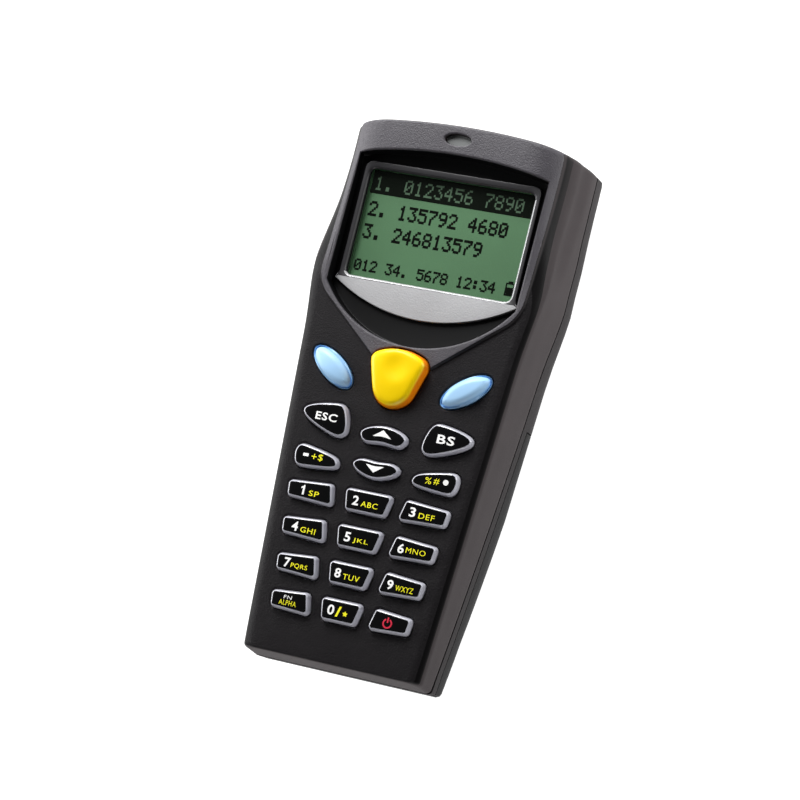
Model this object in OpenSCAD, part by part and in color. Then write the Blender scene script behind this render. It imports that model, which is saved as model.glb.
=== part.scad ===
// Portable barcode data terminal, lying on its back with its keys up.
// +X is the user's right, +Y points to the head with the display, +Z comes out of the face.
// v is the distance along the length from the edge of the face at the tail. Millimetres.

/* [Casing] */
// Length of the casing from tail to head
body_l = 122.7; // [112:0.1:136]
// Thickness of the casing from back to keypad face
body_t = 30; // [29:0.5:36]
// Width of the casing at the tail
tail_w = 42.7; // [41.5:0.1:46]
// Width of the casing at its widest, beside the lower edge of the display
hip_w = 55.3; // [54:0.1:60]
// Width of the face at the head
head_w = 53.5; // [52.5:0.1:56]
// Distance of the widest place from the tail
hip_v = 88; // [84:0.5:92]
// Extra width of the side walls below the face at the head
head_flare = 0.8; // [0.4:0.1:2]
// How far the middle of the head end stands ahead of its corners
head_bow = 2.3; // [0:0.1:4]
// How far the back rises at the tail
tail_lift = 6.2; // [3:0.1:7]
// Wall thickness of the shells
wall = 1.8; // [1.4:0.1:2]
// Radius of the long edges of the back
back_r = 10.6; // [8:0.1:12]
// Width of the rolled shoulder along the keypad face
shoulder_w = 3; // [2.2:0.1:4]
// Depth of the parting line below the face at the tail
part_tail = 8.5; // [8:0.5:10]
// Depth of the parting line below the face at the head
part_head = 17.2; // [15:0.1:19]

/* [Display] */
// Height of the head frame above the keypad face
frame_h = 0.6; // [0.3:0.1:1]
// Width of the display recess
recess_w = 45.2; // [44:0.1:46]
// Depth of the recess floor below the keypad face
recess_d = 3; // [2.4:0.1:3.4]
// Width of the window opening
window_w = 40.4; // [38:0.1:41]
// Height of the window opening
window_h = 25.4; // [22:0.1:26]
// Distance of the window's lower edge from the tail
window_v = 84.9; // [84:0.1:87]
// Thickness of the bright bezel plate
bezel_t = 0.8; // [0.6:0.1:1]

/* [Keys] */
// Distance between number rows
row_pitch = 8.15; // [7.6:0.05:8.8]
// Distance of the lowest row from the tail
row_v = 11.4; // [11:0.1:13]
// Height of a number key along the casing
key_h = 5; // [4.4:0.1:5.4]
// How far the number keys stand proud of the face
key_proud = 1.5; // [1:0.1:2.2]
// How far the scan key stands proud of the face
scan_proud = 2.7; // [2:0.1:3.5]
// Gap between a key and the edge of its hole
key_gap = 0.3; // [0.2:0.05:0.35]
// Travel of a key
key_travel = 0.8; // [0.4:0.1:1]
// Diameter of a key's stem
stem_d = 3; // [2.4:0.1:3.4]

/* [Battery] */
// Diameter of one cell
cell_d = 10.5; // [9.5:0.1:11]
// Length of one cell
cell_l = 44.5; // [40:0.5:46]
// Length of the battery door along the casing
door_l = 60; // [58:0.5:64]
// Gap between the door and the rear shell
door_gap = 0.3; // [0.2:0.05:0.5]
// How far the door slides before its hooks are free
door_travel = 12; // [8:0.5:14]

/* [Hidden] */
$fn = 48;

// Casing form
inner = body_t - wall;
tail_v = -1.3;
head_v = body_l + tail_v;
mid_v = body_l / 2 + tail_v;
shoulder_h = 2.6;
head_shoulder_w = 9;
head_shoulder_h = 8.3;
hip_bulge = 0.7;
hip_span = 18;
lift_v = 40;
corner_r = 0.8;
face_edge_r = 1;
tail_back_r = 12;
head_back_r = 10;
flare_h = 6;
crown = 0.15;
seam = 0.15;
face_steps = 4;
back_steps = 6;
end_steps = [0, 0.4, 1.2, 2.6, 5, 9];

// Head frame and recess
recess_z = body_t - recess_d;
recess_floor = 0.8;
pan_wall = 0.8;
recess_top_v = 114.8;
recess_top_r = 104;
recess_low_v = 70.9;
recess_low_r = 27.5;
frame_side = 24.4;
frame_low_v = 61.4;
frame_hip_v = 81.6;
window_r = 1.2;
bezel_rim = 0.9;
bezel_tip_x = 21.9;
bezel_tip_v = 83.9;
bezel_low_v = 77.4;
slack = 0.1;
lcd_top = recess_z - recess_floor - 0.2;
lens_w = 6.4;
lens_l = 2.7;
lens_v = 118.2;

// Layers under the keys
flange_t = 0.8;
flange_w = 0.7;
clear = 0.3;
flange_z = inner - clear - flange_t;
mat_z = flange_z - key_travel - clear;
mat_t = 2;
board_z = mat_z - mat_t;
board_t = 1.6;
stem_z = board_z + key_travel + 0.2;
edge_gap = 1.4;

// Bosses and screws
boss_d = 5.6;
screw_d = 2;
screw_head_d = 3.8;
screw_head_h = 1.5;
bite = 7;
boss_x = 19.2;
boss_head_v = head_v - 6.5;
boss_mid_x = 20.6;
boss_mid_v = 74.6;
boss_tail_x = 15.2;
boss_tail_v = 5;
boss_floor = 3;
spot_h = 0.5;

// Battery well
cell_x = cell_d / 2 + 0.4;
cell_z = 12.9;
cell_v = 8.7;
spring_l = 3.2;
plate_t = 0.4;
well_v = cell_v - spring_l - plate_t;
well_end = cell_v + cell_l + 1.2 + plate_t;
well_w = 2 * (cell_x + cell_d / 2 + 0.5);
well_top = cell_z + cell_d / 2 + 0.5;
well_wall = 1.4;
well_low = cell_z - 1.5;
deck_t = 1.5;
door_lip = 2.6;
bulkhead_t = 1.2;
rib_t = 1.4;
rib_vs = [24, 44];
hook_x = 16.4;
hook_t = 1.2;
hook_l = 3;
hook_foot = 2;
hook_vs = [27, 46];
latch_w = 10;
latch_l = 12;
latch_slot = 0.8;
grip_d = 1.2;

// Scan window
scan_w = 30;
scan_h = 10.4;
scan_z = 14.4;
scan_t = 1.4;
scan_inset = 0.4;
scan_rim = 1;
scan_seat = 0.7;
engine_w = 22;
engine_l = 15;
engine_h = 12;
engine_v = 95.5;

function lerp(a, b, u) = a + (b - a) * u;
function clamp(u) = u < 0 ? 0 : u > 1 ? 1 : u;
function smooth(u) = clamp(u) * clamp(u) * (3 - 2 * clamp(u));
function bell(u) = abs(u) >= 1 ? 0 : (1 + cos(180 * u)) / 2;

// Half width of the face, the side walls' flare and the height of the back at a distance v from the tail
function half_w(v) = hip_bulge * bell((v - hip_v) / hip_span) + (v < hip_v
    ? lerp(tail_w / 2, hip_w / 2 - hip_bulge, v / hip_v)
    : lerp(hip_w / 2 - hip_bulge, head_w / 2, smooth((v - hip_v) / (hip_span - 2))));
function flare(v) = head_flare * smooth((v - hip_v - 2) / 12);
function shoulder(v) = lerp(shoulder_w, head_shoulder_w, smooth((v - hip_v + 6) / 12));
function shoulder_drop(v) = lerp(shoulder_h, head_shoulder_h, smooth((v - hip_v + 6) / 34));
function back_z(v) = tail_lift * pow(clamp(1 - v / lift_v), 1.2);
function bow(v) = head_bow * smooth((v - 70) / (body_l - 70));
function parting_z(v) = body_t - lerp(part_tail, part_head, 1 - pow(clamp(1 - v / body_l), 2.2));

// How far an edge of radius r pulls in at a distance d from an end
function pull(d, r) = d >= r ? 0 : r - sqrt(r * r - (r - d) * (r - d));

// Distances of the loft's sections from the tail, for a casing made smaller all round by o
function stations(o) = concat([for (d = end_steps) tail_v + o + d],
    [16, 24, 32, 40, 52, 62, 70, 76, 80, 84, 88, 93, 99, 107],
    [for (i = [len(end_steps) - 1 : -1 : 0]) head_v - o - end_steps[i]]);

// One closed cross section: face from left to right, a wall point, back from right to left, a wall point
function section(v, o) =
    let (tail = v - tail_v - o, head = head_v - o - v,
        corner = max(corner_r - o, 0.5), edge = max(face_edge_r - o, 0.3),
        w = half_w(v) - o - pull(tail, corner) - pull(head, corner),
        f = flare(v),
        sw = max(shoulder(v) - o, 0.4), sh = max(shoulder_drop(v) - o, 0.4),
        top = body_t - o - pull(tail, edge) - pull(head, edge),
        low = back_z(v) + o,
        r = min(back_r - o, top - sh - low - 0.6),
        reach = asin(max(1 - (pull(tail, tail_back_r - o) + pull(head, head_back_r - o)) / r, 0.12)),
        roll = [for (i = [0 : face_steps]) 90 * i / face_steps],
        arc = [for (i = [0 : back_steps]) reach * i / back_steps],
        k = back_steps - face_steps + 2,
        face = concat(
            [for (a = roll) [-(w - sw + sw * cos(a)), top - sh + sh * sin(a)]],
            [for (i = [1 - k : k - 1]) [i / k * (w - sw), top]],
            [for (a = roll) [w - sw + sw * sin(a), top - sh + sh * cos(a)]]),
        back = concat(
            [for (a = arc) [w + f - r + r * cos(a), low + r - r * sin(a)]],
            [for (i = [1, 0, -1]) [i / 2 * (w + f - r + r * cos(reach)), low + r - r * sin(reach)]],
            [for (a = reversed(arc)) [-(w + f - r + r * cos(a)), low + r - r * sin(a)]]),
        wall_z = max(top - sh - flare_h, low + r + 0.3),
        loop = concat(face, [[w + f + crown, wall_z]], back, [[-w - f - crown, wall_z]]))
    [for (p = loop) [p[0], v - bow(v) * pow(p[0] / (w + f), 2) - mid_v, p[1]]];

// The whole casing as one solid, made smaller all round by o
module casing(o) {
    rings = [for (v = stations(o)) section(v, o)];
    n = len(rings[0]);
    m = n / 2 - 1;
    k = len(rings);
    skin = [for (j = [0 : k - 2], i = [0 : n - 1])
        [j * n + i, (j + 1) * n + i, (j + 1) * n + (i + 1) % n, j * n + (i + 1) % n]];
    sides = [for (q = skin, t = [[q[0], q[1], q[2]], [q[0], q[2], q[3]]]) t];
    lid = concat([for (i = [0 : m - 2], t = [[i, i + 1, n - 3 - i], [i, n - 3 - i, n - 2 - i]]) t],
        [[m - 1, m, m + 1], [0, n - 2, n - 1]]);
    polyhedron(
        points = [for (r = rings, p = r) p],
        faces = concat(sides, lid, [for (t = lid) [for (c = [2, 1, 0]) t[c] + (k - 1) * n]]),
        convexity = 8);
}

// A solid as wide as the casing from a profile of (v, z) points
module across(points, w = 80) {
    translate([-w / 2, -mid_v, 0]) rotate([90, 0, 90]) linear_extrude(w) polygon(points);
}

// Everything between two heights that follow the parting line, from v = a to v = b
module band(a, b, low, high) {
    vs = concat([a], [for (v = [3.4 : 4 : body_l]) if (v > a && v < b) v], [b]);
    across(concat([for (v = vs) [v, parting_z(v) + low]],
        [for (v = reversed(vs)) [v, parting_z(v) + high]]));
}

// Moves to a place (x, v, z)
module at(x, v, z = 0) {
    translate([x, v - mid_v, z]) children();
}

// Outlines -------------------------------------------------------------------------------------

function unit(a) = a / norm(a);
function turn(a) = [a[1], -a[0]];

// A polygon, listed anticlockwise, with every side moved out by g
function grow(pts, g) = [for (i = [0 : len(pts) - 1])
    let (n = len(pts), a = pts[(i + n - 1) % n], b = pts[i], c = pts[(i + 1) % n],
        p = turn(unit(b - a)), q = turn(unit(c - b)))
    b + g * (p + q) / (1 + p * q)];

// A convex polygon, listed anticlockwise, with every corner rounded to radius r, or as far as its sides allow
function rounded(pts, r) = [for (i = [0 : len(pts) - 1])
    let (n = len(pts), a = pts[(i + n - 1) % n], b = pts[i], c = pts[(i + 1) % n],
        p = unit(a - b), q = unit(c - b), half = acos(p * q) / 2,
        room = 0.49 * min(norm(a - b), norm(c - b)),
        rr = min(r, room * tan(half)), centre = b + unit(p + q) * rr / sin(half),
        from = atan2(-turn(p)[1], -turn(p)[0]), sweep = 180 - 2 * half, steps = 4)
    for (j = [0 : steps]) let (t = from + sweep * j / steps) centre + rr * [cos(t), sin(t)]];

// Points of an arc through (-x, v) and (x, v) whose middle is at v + rise
function arch(x, v, rise, steps = 16) =
    let (s = abs(rise), r = (x * x + s * s) / (2 * s), half = asin(x / r), up = sign(rise))
    [for (i = [0 : steps]) let (t = lerp(-half, half, i / steps))
        [r * sin(t), v + rise - up * r * (1 - cos(t))]];

function reversed(pts) = [for (i = [len(pts) - 1 : -1 : 0]) pts[i]];
function mirrored(pts) = [for (p = reversed(pts)) [-p[0], p[1]]];

// Recess outline: a shallow arch at the head, straight sides and a deep arch towards the keys
function recess(g = 0) =
    let (x = recess_w / 2 + g,
        low = arch(x, recess_low_v - g + recess_low_r - sqrt(pow(recess_low_r + g, 2) - x * x) + g,
            sqrt(pow(recess_low_r + g, 2) - x * x) - recess_low_r - g, 24),
        top = arch(x, recess_top_v + g - x * x / (2 * recess_top_r), x * x / (2 * recess_top_r)))
    concat(low, reversed(top));

// Head frame outline: the head end's bow, straight sides and a V that runs down to the scan key
frame_plan = rounded(concat(
    [[-frame_side, frame_hip_v], [0, frame_low_v], [frame_side, frame_hip_v],
        [frame_side + 0.2, head_v - 1.3 - head_bow]],
    reversed(arch(frame_side - 2.4, head_v - 0.6 - head_bow, head_bow * 0.8, 6)),
    [[-frame_side - 0.2, head_v - 1.3 - head_bow]]), 9);

window_plan = [[-window_w / 2, window_v], [window_w / 2, window_v],
    [window_w / 2, window_v + window_h], [-window_w / 2, window_v + window_h]];

// Bezel outline: a rim round the window that ends below it in a crescent plate
bezel_plan = concat(arch(bezel_tip_x, bezel_tip_v, bezel_low_v - bezel_tip_v, 20),
    [[window_w / 2 + bezel_rim, window_v + 0.6],
        [window_w / 2 + bezel_rim, window_v + window_h - 0.6],
        [window_w / 2 + bezel_rim - 1.5, window_v + window_h + bezel_rim],
        [-window_w / 2 - bezel_rim + 1.5, window_v + window_h + bezel_rim],
        [-window_w / 2 - bezel_rim, window_v + window_h - 0.6],
        [-window_w / 2 - bezel_rim, window_v + 0.6]]);

oval = [for (a = [0 : 15 : 345]) [lens_w / 2 * cos(a), lens_v + lens_l / 2 * sin(a)]];

// Keys ------------------------------------------------------------------------------------------

// Outline of a number key: row 0 is the lowest, column -1, 0 or 1. The columns close in towards the tail.
function number_key(row, col) =
    let (v = row_v + row * row_pitch, a = v - key_h / 2, b = v + key_h / 2,
        inner_x = 6.7 + 0.3 * row, outer_x = 16.8 + 0.73 * row, mid_x = 4.85 + 0.28 * row,
        side = [[inner_x - 0.5, a], [outer_x - 0.2, a], [outer_x + 0.25, b], [inner_x + 0.5, b]])
    col == 0 ? [[-mid_x + 0.45, a], [mid_x - 0.45, a], [mid_x + 0.45, b], [-mid_x - 0.45, b]]
    : col == 1 ? side : mirrored(side);

// An outline with its corners cut twice, which leaves a smooth curve inside the polygon
function cut(pts) = [for (i = [0 : len(pts) - 1]) let (a = pts[i], b = pts[(i + 1) % len(pts)])
    each [lerp(a, b, 0.25), lerp(a, b, 0.75)]];
function eased(pts) = cut(cut(pts));

// Shaped keys of the right half, whose mirror images make the left half, and the two arrow keys
bs_key = eased([[9.2, 47.9], [12.4, 47.9], [20.3, 51.4], [20.7, 53.8], [17.2, 55.6], [11.0, 56.1], [9.9, 53]]);
percent_key = eased([[8.3, 42.4], [9.2, 40.9], [18.6, 40.3], [20, 41.2], [19.4, 45.8], [17.4, 46], [9.4, 43.8]]);
up_key = eased([[-5.9, 50.4], [-4.6, 48.5], [-2, 48.5], [0, 49], [2, 48.5], [4.6, 48.5], [5.9, 50.4], [4.2, 52.4],
    [0, 53.2], [-4.2, 52.4]]);
down_key = eased([[-5.9, 43.7], [-4, 41.7], [0, 40.4], [4, 41.7], [5.9, 43.7], [4.2, 45.4], [2, 45.2], [0, 44.6],
    [-2, 45.2], [-4.2, 45.4]]);

// The scan key: a broad arch at the head that narrows to a round tail end
scan_key = concat(
    [for (i = [0 : 12]) let (t = -90 + 72 * i / 12) [4.7 * cos(t), 61.2 + 4.7 * sin(t)]],
    [[6.4, 65.6], [6.5, 67]],
    reversed(arch(5.6, 68.2, 1.5, 8)),
    [[-6.5, 67], [-6.4, 65.6]],
    [for (i = [0 : 11]) let (t = -162 + 72 * i / 12) [4.7 * cos(t), 61.2 + 4.7 * sin(t)]]);

// A blue key: an ellipse whose outer end points to the head
function blue_key(side) = let (x = 15.9, v = 63.5, a = 6.4, b = 2.8, tilt = 36)
    [for (i = [0 : 35]) let (t = 10 * i, s = side > 0 ? tilt : -tilt)
        [side * x + a * cos(t) * cos(s) - b * sin(t) * sin(s), v + a * cos(t) * sin(s) + b * sin(t) * cos(s)]];

// Each key: node name, outline, corner radius, how far it stands proud, radius of its domed top, colour
KEYS = concat(
    [["key_scan", scan_key, 0, scan_proud, 34, "gold"],
        ["key_blue_left", blue_key(-1), 0, 2, 15, "lightskyblue"],
        ["key_blue_right", blue_key(1), 0, 2, 15, "lightskyblue"],
        ["key_esc", mirrored(bs_key), 0, key_proud, 40, "slategray"],
        ["key_bs", bs_key, 0, key_proud, 40, "slategray"],
        ["key_up", up_key, 0, key_proud, 40, "slategray"],
        ["key_down", down_key, 0, key_proud, 40, "slategray"],
        ["key_minus", mirrored(percent_key), 0, key_proud, 40, "slategray"],
        ["key_percent", percent_key, 0, key_proud, 40, "slategray"]],
    [for (i = [0 : 11]) let (row = 3 - floor(i / 3), col = i % 3 - 1,
        names = ["key_1", "key_2", "key_3", "key_4", "key_5", "key_6", "key_7", "key_8", "key_9",
            "key_fn", "key_0", "key_power"])
        [names[i], number_key(row, col), 0.9, key_proud, 40, "slategray"]]);

// Middle of an outline's box
function middle(pts) = let (xs = [for (p = pts) p[0]], vs = [for (p = pts) p[1]])
    [(min(xs) + max(xs)) / 2, (min(vs) + max(vs)) / 2];

// A key's outline with its sides moved out by g
function key_plan(k, g) = k[2] > 0 ? rounded(grow(k[1], g), k[2] + g) : grow(k[1], g);

// A prism between two heights over a plan of (x, v) points
module slab(plan, low, high) {
    at(0, 0, low) linear_extrude(high - low) polygon(plan);
}

// One key: a domed cap through the face, a flange under it and a stem down to the mat
module key(k) {
    c = middle(k[1]);
    color(k[5]) union() {
        difference() {
            intersection() {
                slab(key_plan(k, 0), flange_z, body_t + k[3] + 1);
                at(c[0], c[1], body_t + k[3] - k[4]) sphere(r = k[4], $fn = 96);
            }
            // Thumb hollow of the scan key
            if (k[0] == "key_scan")
                at(0, 64, body_t + k[3] + 11.4) sphere(r = 12, $fn = 96);
        }
        difference() {
            slab(key_plan(k, flange_w), flange_z, flange_z + flange_t);
            if (k[0] == "key_scan")
                slab(recess(pan_wall + clear), flange_z - 1, flange_z + 2);
        }
        at(c[0], c[1], stem_z) cylinder(d = stem_d, h = flange_z - stem_z + 0.2);
    }
}

// Shells -----------------------------------------------------------------------------------------

bosses = [for (x = [-1, 1], b = [[boss_x, boss_head_v], [boss_mid_x, boss_mid_v]]) [x * b[0], b[1]]];
tail_bosses = [for (x = [-1, 1]) [x * boss_tail_x, boss_tail_v]];

// Opening for the scan beam, through the head end
module scan_opening() {
    at(-scan_w / 2, head_v - 9, scan_z - scan_h / 2) cube([scan_w, 12, scan_h]);
}

module front_shell() {
    color("#26272a") difference() {
        union() {
            difference() {
                union() {
                    casing(0);
                    // Raised head frame, whose lower corner runs down to the scan key
                    intersection() {
                        translate([0, 0, frame_h]) casing(0);
                        slab(frame_plan, body_t - head_shoulder_h, body_t + 2 * frame_h);
                    }
                }
                casing(wall);
                band(-3, body_l + 3, -60, seam);
            }
            // Pan of the display recess
            slab(recess(pan_wall), recess_z - recess_floor, inner + 0.3);
            // Bosses that take the screws
            for (b = concat(bosses, tail_bosses))
                at(b[0], b[1], parting_z(b[1]) + seam) cylinder(d = boss_d, h = inner - parting_z(b[1]));
        }
        slab(recess(), recess_z, body_t + 2);
        slab(rounded(window_plan, window_r), recess_z - recess_floor - 1, body_t);
        slab(oval, body_t - 3, body_t + 2);
        scan_opening();
        for (k = KEYS)
            slab(key_plan(k, key_gap), inner - 1, body_t + 2);
        for (b = concat(bosses, tail_bosses))
            at(b[0], b[1], parting_z(b[1]) - 1) cylinder(d = screw_d + 0.1, h = bite + 1);
    }
}

// Deck between the cells and the board: it follows the parting line over the whole door
module deck() {
    difference() {
        union() {
            difference() {
                band(-3, body_l + 3, -60, 0);
                casing(wall);
            }
            band(-3, door_l + bulkhead_t, -door_lip - 0.5, -door_lip + deck_t);
        }
        band(-5, door_l, -60, -door_lip);
    }
}

module rear_shell() {
    color("#2c2c2f") intersection() {
        casing(0);
        difference() {
            union() {
                deck();
                // Bulkhead behind the battery bay
                across([[door_l, 0.5], [door_l + bulkhead_t, 0.5],
                    [door_l + bulkhead_t, parting_z(door_l) - door_lip + 0.5],
                    [door_l, parting_z(door_l) - door_lip + 0.5]]);
                // Well that holds the cells, with end walls that reach lower for the contacts
                at(-well_w / 2 - well_wall, well_v - well_wall, well_low)
                    cube([well_w + 2 * well_wall, well_end - well_v + 2 * well_wall, well_top + well_wall - well_low]);
                at(-well_w / 2, well_end, cell_z - 6) cube([well_w, well_wall, 12]);
                for (b = bosses)
                    at(b[0], b[1], 0) cylinder(d = boss_d, h = parting_z(b[1]));
                for (b = tail_bosses)
                    at(b[0], b[1], parting_z(b[1]) - door_lip) cylinder(d = boss_d, h = door_lip);
            }
            at(-well_w / 2, well_v, 0) cube([well_w, well_end - well_v, well_top]);
            scan_opening();
            for (b = bosses) {
                at(b[0], b[1], -1) cylinder(d = screw_d + 0.4, h = body_t);
                at(b[0], b[1], -1) cylinder(d = screw_head_d + 0.4, h = boss_floor + screw_head_h + 1);
            }
            for (b = tail_bosses) {
                at(b[0], b[1], 0) cylinder(d = screw_d + 0.4, h = body_t);
                at(b[0], b[1], 0) cylinder(d = screw_head_d + 0.4, h = parting_z(b[1]) - door_lip + spot_h);
            }
            // Slots for the door's hooks and its latch
            for (s = [-1, 1], v = hook_vs)
                at(s * hook_x - hook_t / 2 - clear, v - door_travel - clear, 0)
                    cube([hook_t + 2 * clear, door_travel + hook_l + 2 * clear, body_t]);
            at(-latch_w / 2 - clear, door_l - 1, wall - 0.3) cube([latch_w + 2 * clear, 4, 2.4]);
        }
    }
}

// One hook of the door: a tab with a foot that points to the head
module hook(s, v) {
    low = parting_z(v + hook_l) - door_lip + deck_t + clear;
    at(s * hook_x - hook_t / 2, v, 0) cube([hook_t, hook_l, low + 1.2]);
    at(s * hook_x - hook_t / 2, v, low) cube([hook_t, hook_l + hook_foot, 1.2]);
}

module battery_door() {
    color("#2c2c2f") intersection() {
        casing(0);
        difference() {
            union() {
                difference() {
                    band(-5, door_l - door_gap, -60, -door_lip - door_gap);
                    casing(wall);
                }
                // Ribs that cradle the cells
                difference() {
                    for (v = rib_vs)
                        at(-well_w / 2, v - rib_t / 2, 0) cube([well_w, rib_t, cell_z - 2.2]);
                    for (s = [-1, 1])
                        at(s * cell_x, 0, cell_z) rotate([-90, 0, 0]) cylinder(d = cell_d + 2 * clear, h = body_l);
                }
                for (s = [-1, 1], v = hook_vs)
                    hook(s, v);
                // Lip of the latch, which passes inside the rear shell
                at(-latch_w / 2, door_l - 4, wall - 0.2) cube([latch_w, 2, 1.5]);
                at(-latch_w / 2, door_l - 4, wall + clear) cube([latch_w, 4 + bulkhead_t + 0.6, 1]);
            }
            // Slots that free the latch tongue, and the grooves for the thumb
            for (s = [-1, 1])
                at(s * (latch_w / 2 + latch_slot / 2) - latch_slot / 2, door_l - latch_l, -1)
                    cube([latch_slot, latch_l + 1, 5]);
            for (i = [0 : 3])
                at(-latch_w / 2 + 1, door_l - 9 + 1.9 * i, 0) rotate([0, 90, 0]) cylinder(d = grip_d, h = latch_w - 2);
        }
    }
}

// Display ----------------------------------------------------------------------------------------

module display_bezel() {
    color("silver") difference() {
        slab(bezel_plan, recess_z, recess_z + bezel_t);
        slab(rounded(grow(window_plan, -0.3), window_r), recess_z - 1, recess_z + bezel_t + 1);
    }
}

module display_window() {
    color("honeydew", 0.4)
        slab(rounded(grow(window_plan, -slack), window_r), recess_z - recess_floor, recess_z);
}

module display_gasket() {
    color("dimgray") difference() {
        slab(rounded(grow(window_plan, 0.9), 1.4), lcd_top, recess_z - recess_floor);
        slab(rounded(grow(window_plan, -0.2), window_r), lcd_top - 1, recess_z);
    }
}

module lcd_module() {
    color("darkseagreen") difference() {
        slab(grow(window_plan, 1), board_z, lcd_top);
        slab(grow(window_plan, -0.6), lcd_top - 0.2, lcd_top + 1);
    }
}

module indicator_lens() {
    color("lightgray") union() {
        slab([for (p = oval) [p[0] * 0.94, lens_v + (p[1] - lens_v) * 0.94]], inner - 0.4, body_t - 0.5);
        slab([for (p = oval) [p[0] * 1.2, min(lens_v + (p[1] - lens_v) * 1.2, head_v - wall - clear)]],
            inner - 1.2, inner - 0.2);
    }
}

// Scanner ----------------------------------------------------------------------------------------

// A curved plate as wide as x each side of the middle, whose outer face is v inside the head end
module bowed_plate(x, v, t, h) {
    sag = head_bow * pow(x / (head_w / 2 + head_flare), 2);
    slab(concat(arch(x, head_v - v - t - sag, sag, 10), reversed(arch(x, head_v - v - sag, sag, 10))),
        scan_z - h / 2, scan_z + h / 2);
}

module scan_window() {
    color("darkred") union() {
        bowed_plate(scan_w / 2 - slack, scan_inset, wall + scan_seat, scan_h - 2 * slack);
        bowed_plate(scan_w / 2 + scan_rim, wall + scan_seat, scan_t, scan_h + 2 * scan_rim);
    }
}

// Scan engine: a chassis that is open towards the window, with its lens barrel and lamps inside
module scan_engine() {
    color("black") union() {
        difference() {
            at(-engine_w / 2, engine_v, wall + clear) cube([engine_w, engine_l, engine_h]);
            at(-engine_w / 2 + 1.2, engine_v + 4, wall + clear + 1.2)
                cube([engine_w - 2.4, engine_l, engine_h - 2.4]);
        }
        at(0, engine_v + 3, wall + clear + engine_h / 2) rotate([-90, 0, 0]) difference() {
            cylinder(d = 7, h = 6);
            translate([0, 0, 3]) cylinder(d = 5, h = 6);
        }
        for (s = [-1, 1])
            at(s * 7.5, engine_v + 3, wall + clear + engine_h / 2) rotate([-90, 0, 0]) cylinder(d = 3.4, h = 3);
    }
}

// Electronics ------------------------------------------------------------------------------------

function board_edge(a, b, g) = let (vs = [for (i = [0 : 12]) lerp(a, b, i / 12)])
    concat([for (v = vs) [half_w(v) - wall - g, v]], reversed([for (v = vs) [-half_w(v) + wall + g, v]]));

// Notches in the edges of the board and the mat, where the bosses stand
module boss_notches(low, high) {
    r = boss_d / 2 + 0.4;
    for (b = concat(bosses, tail_bosses)) {
        at(b[0], b[1], low) cylinder(r = r, h = high - low);
        at(b[0] > 0 ? b[0] : b[0] - 10, b[1] - r, low) cube([10, 2 * r, high - low]);
    }
}

module keypad_mat() {
    color("gray") difference() {
        slab(board_edge(boss_tail_v - 2.2, recess_low_v - 2, edge_gap), board_z, mat_z);
        boss_notches(board_z - 1, mat_z + 1);
        for (k = KEYS)
            at(middle(k[1])[0], middle(k[1])[1], board_z - 1) cylinder(d = stem_d + 2 * clear, h = mat_t + 2);
    }
}

module main_board() {
    color("darkgreen") difference() {
        slab(board_edge(boss_tail_v - 2.2, head_v - 3.9, edge_gap), board_z - board_t, board_z);
        boss_notches(board_z - board_t - 1, board_z + 1);
    }
}

// Chips and a connector under the board, and the indicator's lamp on top of it
module board_parts() {
    low = board_z - board_t;
    color("black") {
        at(-14, 82, low - 1.4) cube([12, 12, 1.4]);
        at(3, 84, low - 1.2) cube([13, 8, 1.2]);
        at(-8, 100, low - 2.4) cube([16, 4, 2.4]);
        at(-5, 20, low - 1) cube([10, 6, 1]);
        at(-1, head_v - 5.9, board_z) cube([2, 1.6, 1.1]);
    }
}

module buzzer() {
    color("black") difference() {
        at(-11, 70, board_z - board_t - 4) cylinder(d = 12, h = 4);
        at(-11, 70, board_z - board_t - 5) cylinder(d = 2, h = 2);
    }
}

module backup_cell() {
    color("silver") at(9, 70, board_z - board_t - 2.5) cylinder(d = 12, h = 2.5);
}

// Cells and contacts -----------------------------------------------------------------------------

// Two cells side by side, with opposite poles to the head
module cells() {
    color("goldenrod") for (s = [-1, 1])
        at(s * cell_x, s < 0 ? cell_v : well_v + well_end - cell_v, cell_z) rotate([s < 0 ? -90 : 90, 0, 0]) {
            cylinder(d = cell_d, h = cell_l - 1);
            cylinder(d = 3.6, h = cell_l);
        }
}

// A conical coil of wire, as a tube of six sides along a helix that closes in
module coil(r1, r2, h, wire, turns) {
    n = 12 * turns;
    rings = [for (i = [0 : n]) let (t = 30 * i, r = lerp(r1, r2, i / n), z = lerp(wire, h - wire, i / n))
        [for (j = [0 : 5]) let (a = 60 * j) [(r + wire * cos(a)) * cos(t), (r + wire * cos(a)) * sin(t), z + wire * sin(a)]]];
    polyhedron(
        points = [for (r = rings, p = r) p],
        faces = concat([[for (j = [0 : 5]) j], [for (j = [5 : -1 : 0]) n * 6 + j]],
            [for (i = [0 : n - 1], j = [0 : 5], t = [
                [i * 6 + j, (i + 1) * 6 + j, (i + 1) * 6 + (j + 1) % 6],
                [i * 6 + j, (i + 1) * 6 + (j + 1) % 6, i * 6 + (j + 1) % 6]]) t]));
}

// Coil springs that press on the cells' flat poles
module cell_springs() {
    color("silver") for (s = [-1, 1])
        at(s * cell_x, s < 0 ? well_v + plate_t : well_end - plate_t, cell_z) rotate([s < 0 ? -90 : 90, 0, 0])
            coil(3.4, 2.4, spring_l, 0.3, 3);
}

// Contact plates at both ends of the cells: those of the raised poles have a pip
module cell_plates() {
    color("silver") for (s = [-1, 1], head = [0, 1]) {
        v = head == 1 ? well_end - plate_t : well_v;
        at(s * cell_x - 4, v, cell_z - 3) cube([8, plate_t, 7]);
        if ((s < 0) == (head == 1))
            at(s * cell_x, v, cell_z) rotate([head == 1 ? 90 : -90, 0, 0])
                translate([0, 0, head == 1 ? 0 : plate_t]) cylinder(d1 = 5, d2 = 3, h = 0.8);
    }
}

// Screws -----------------------------------------------------------------------------------------

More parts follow.
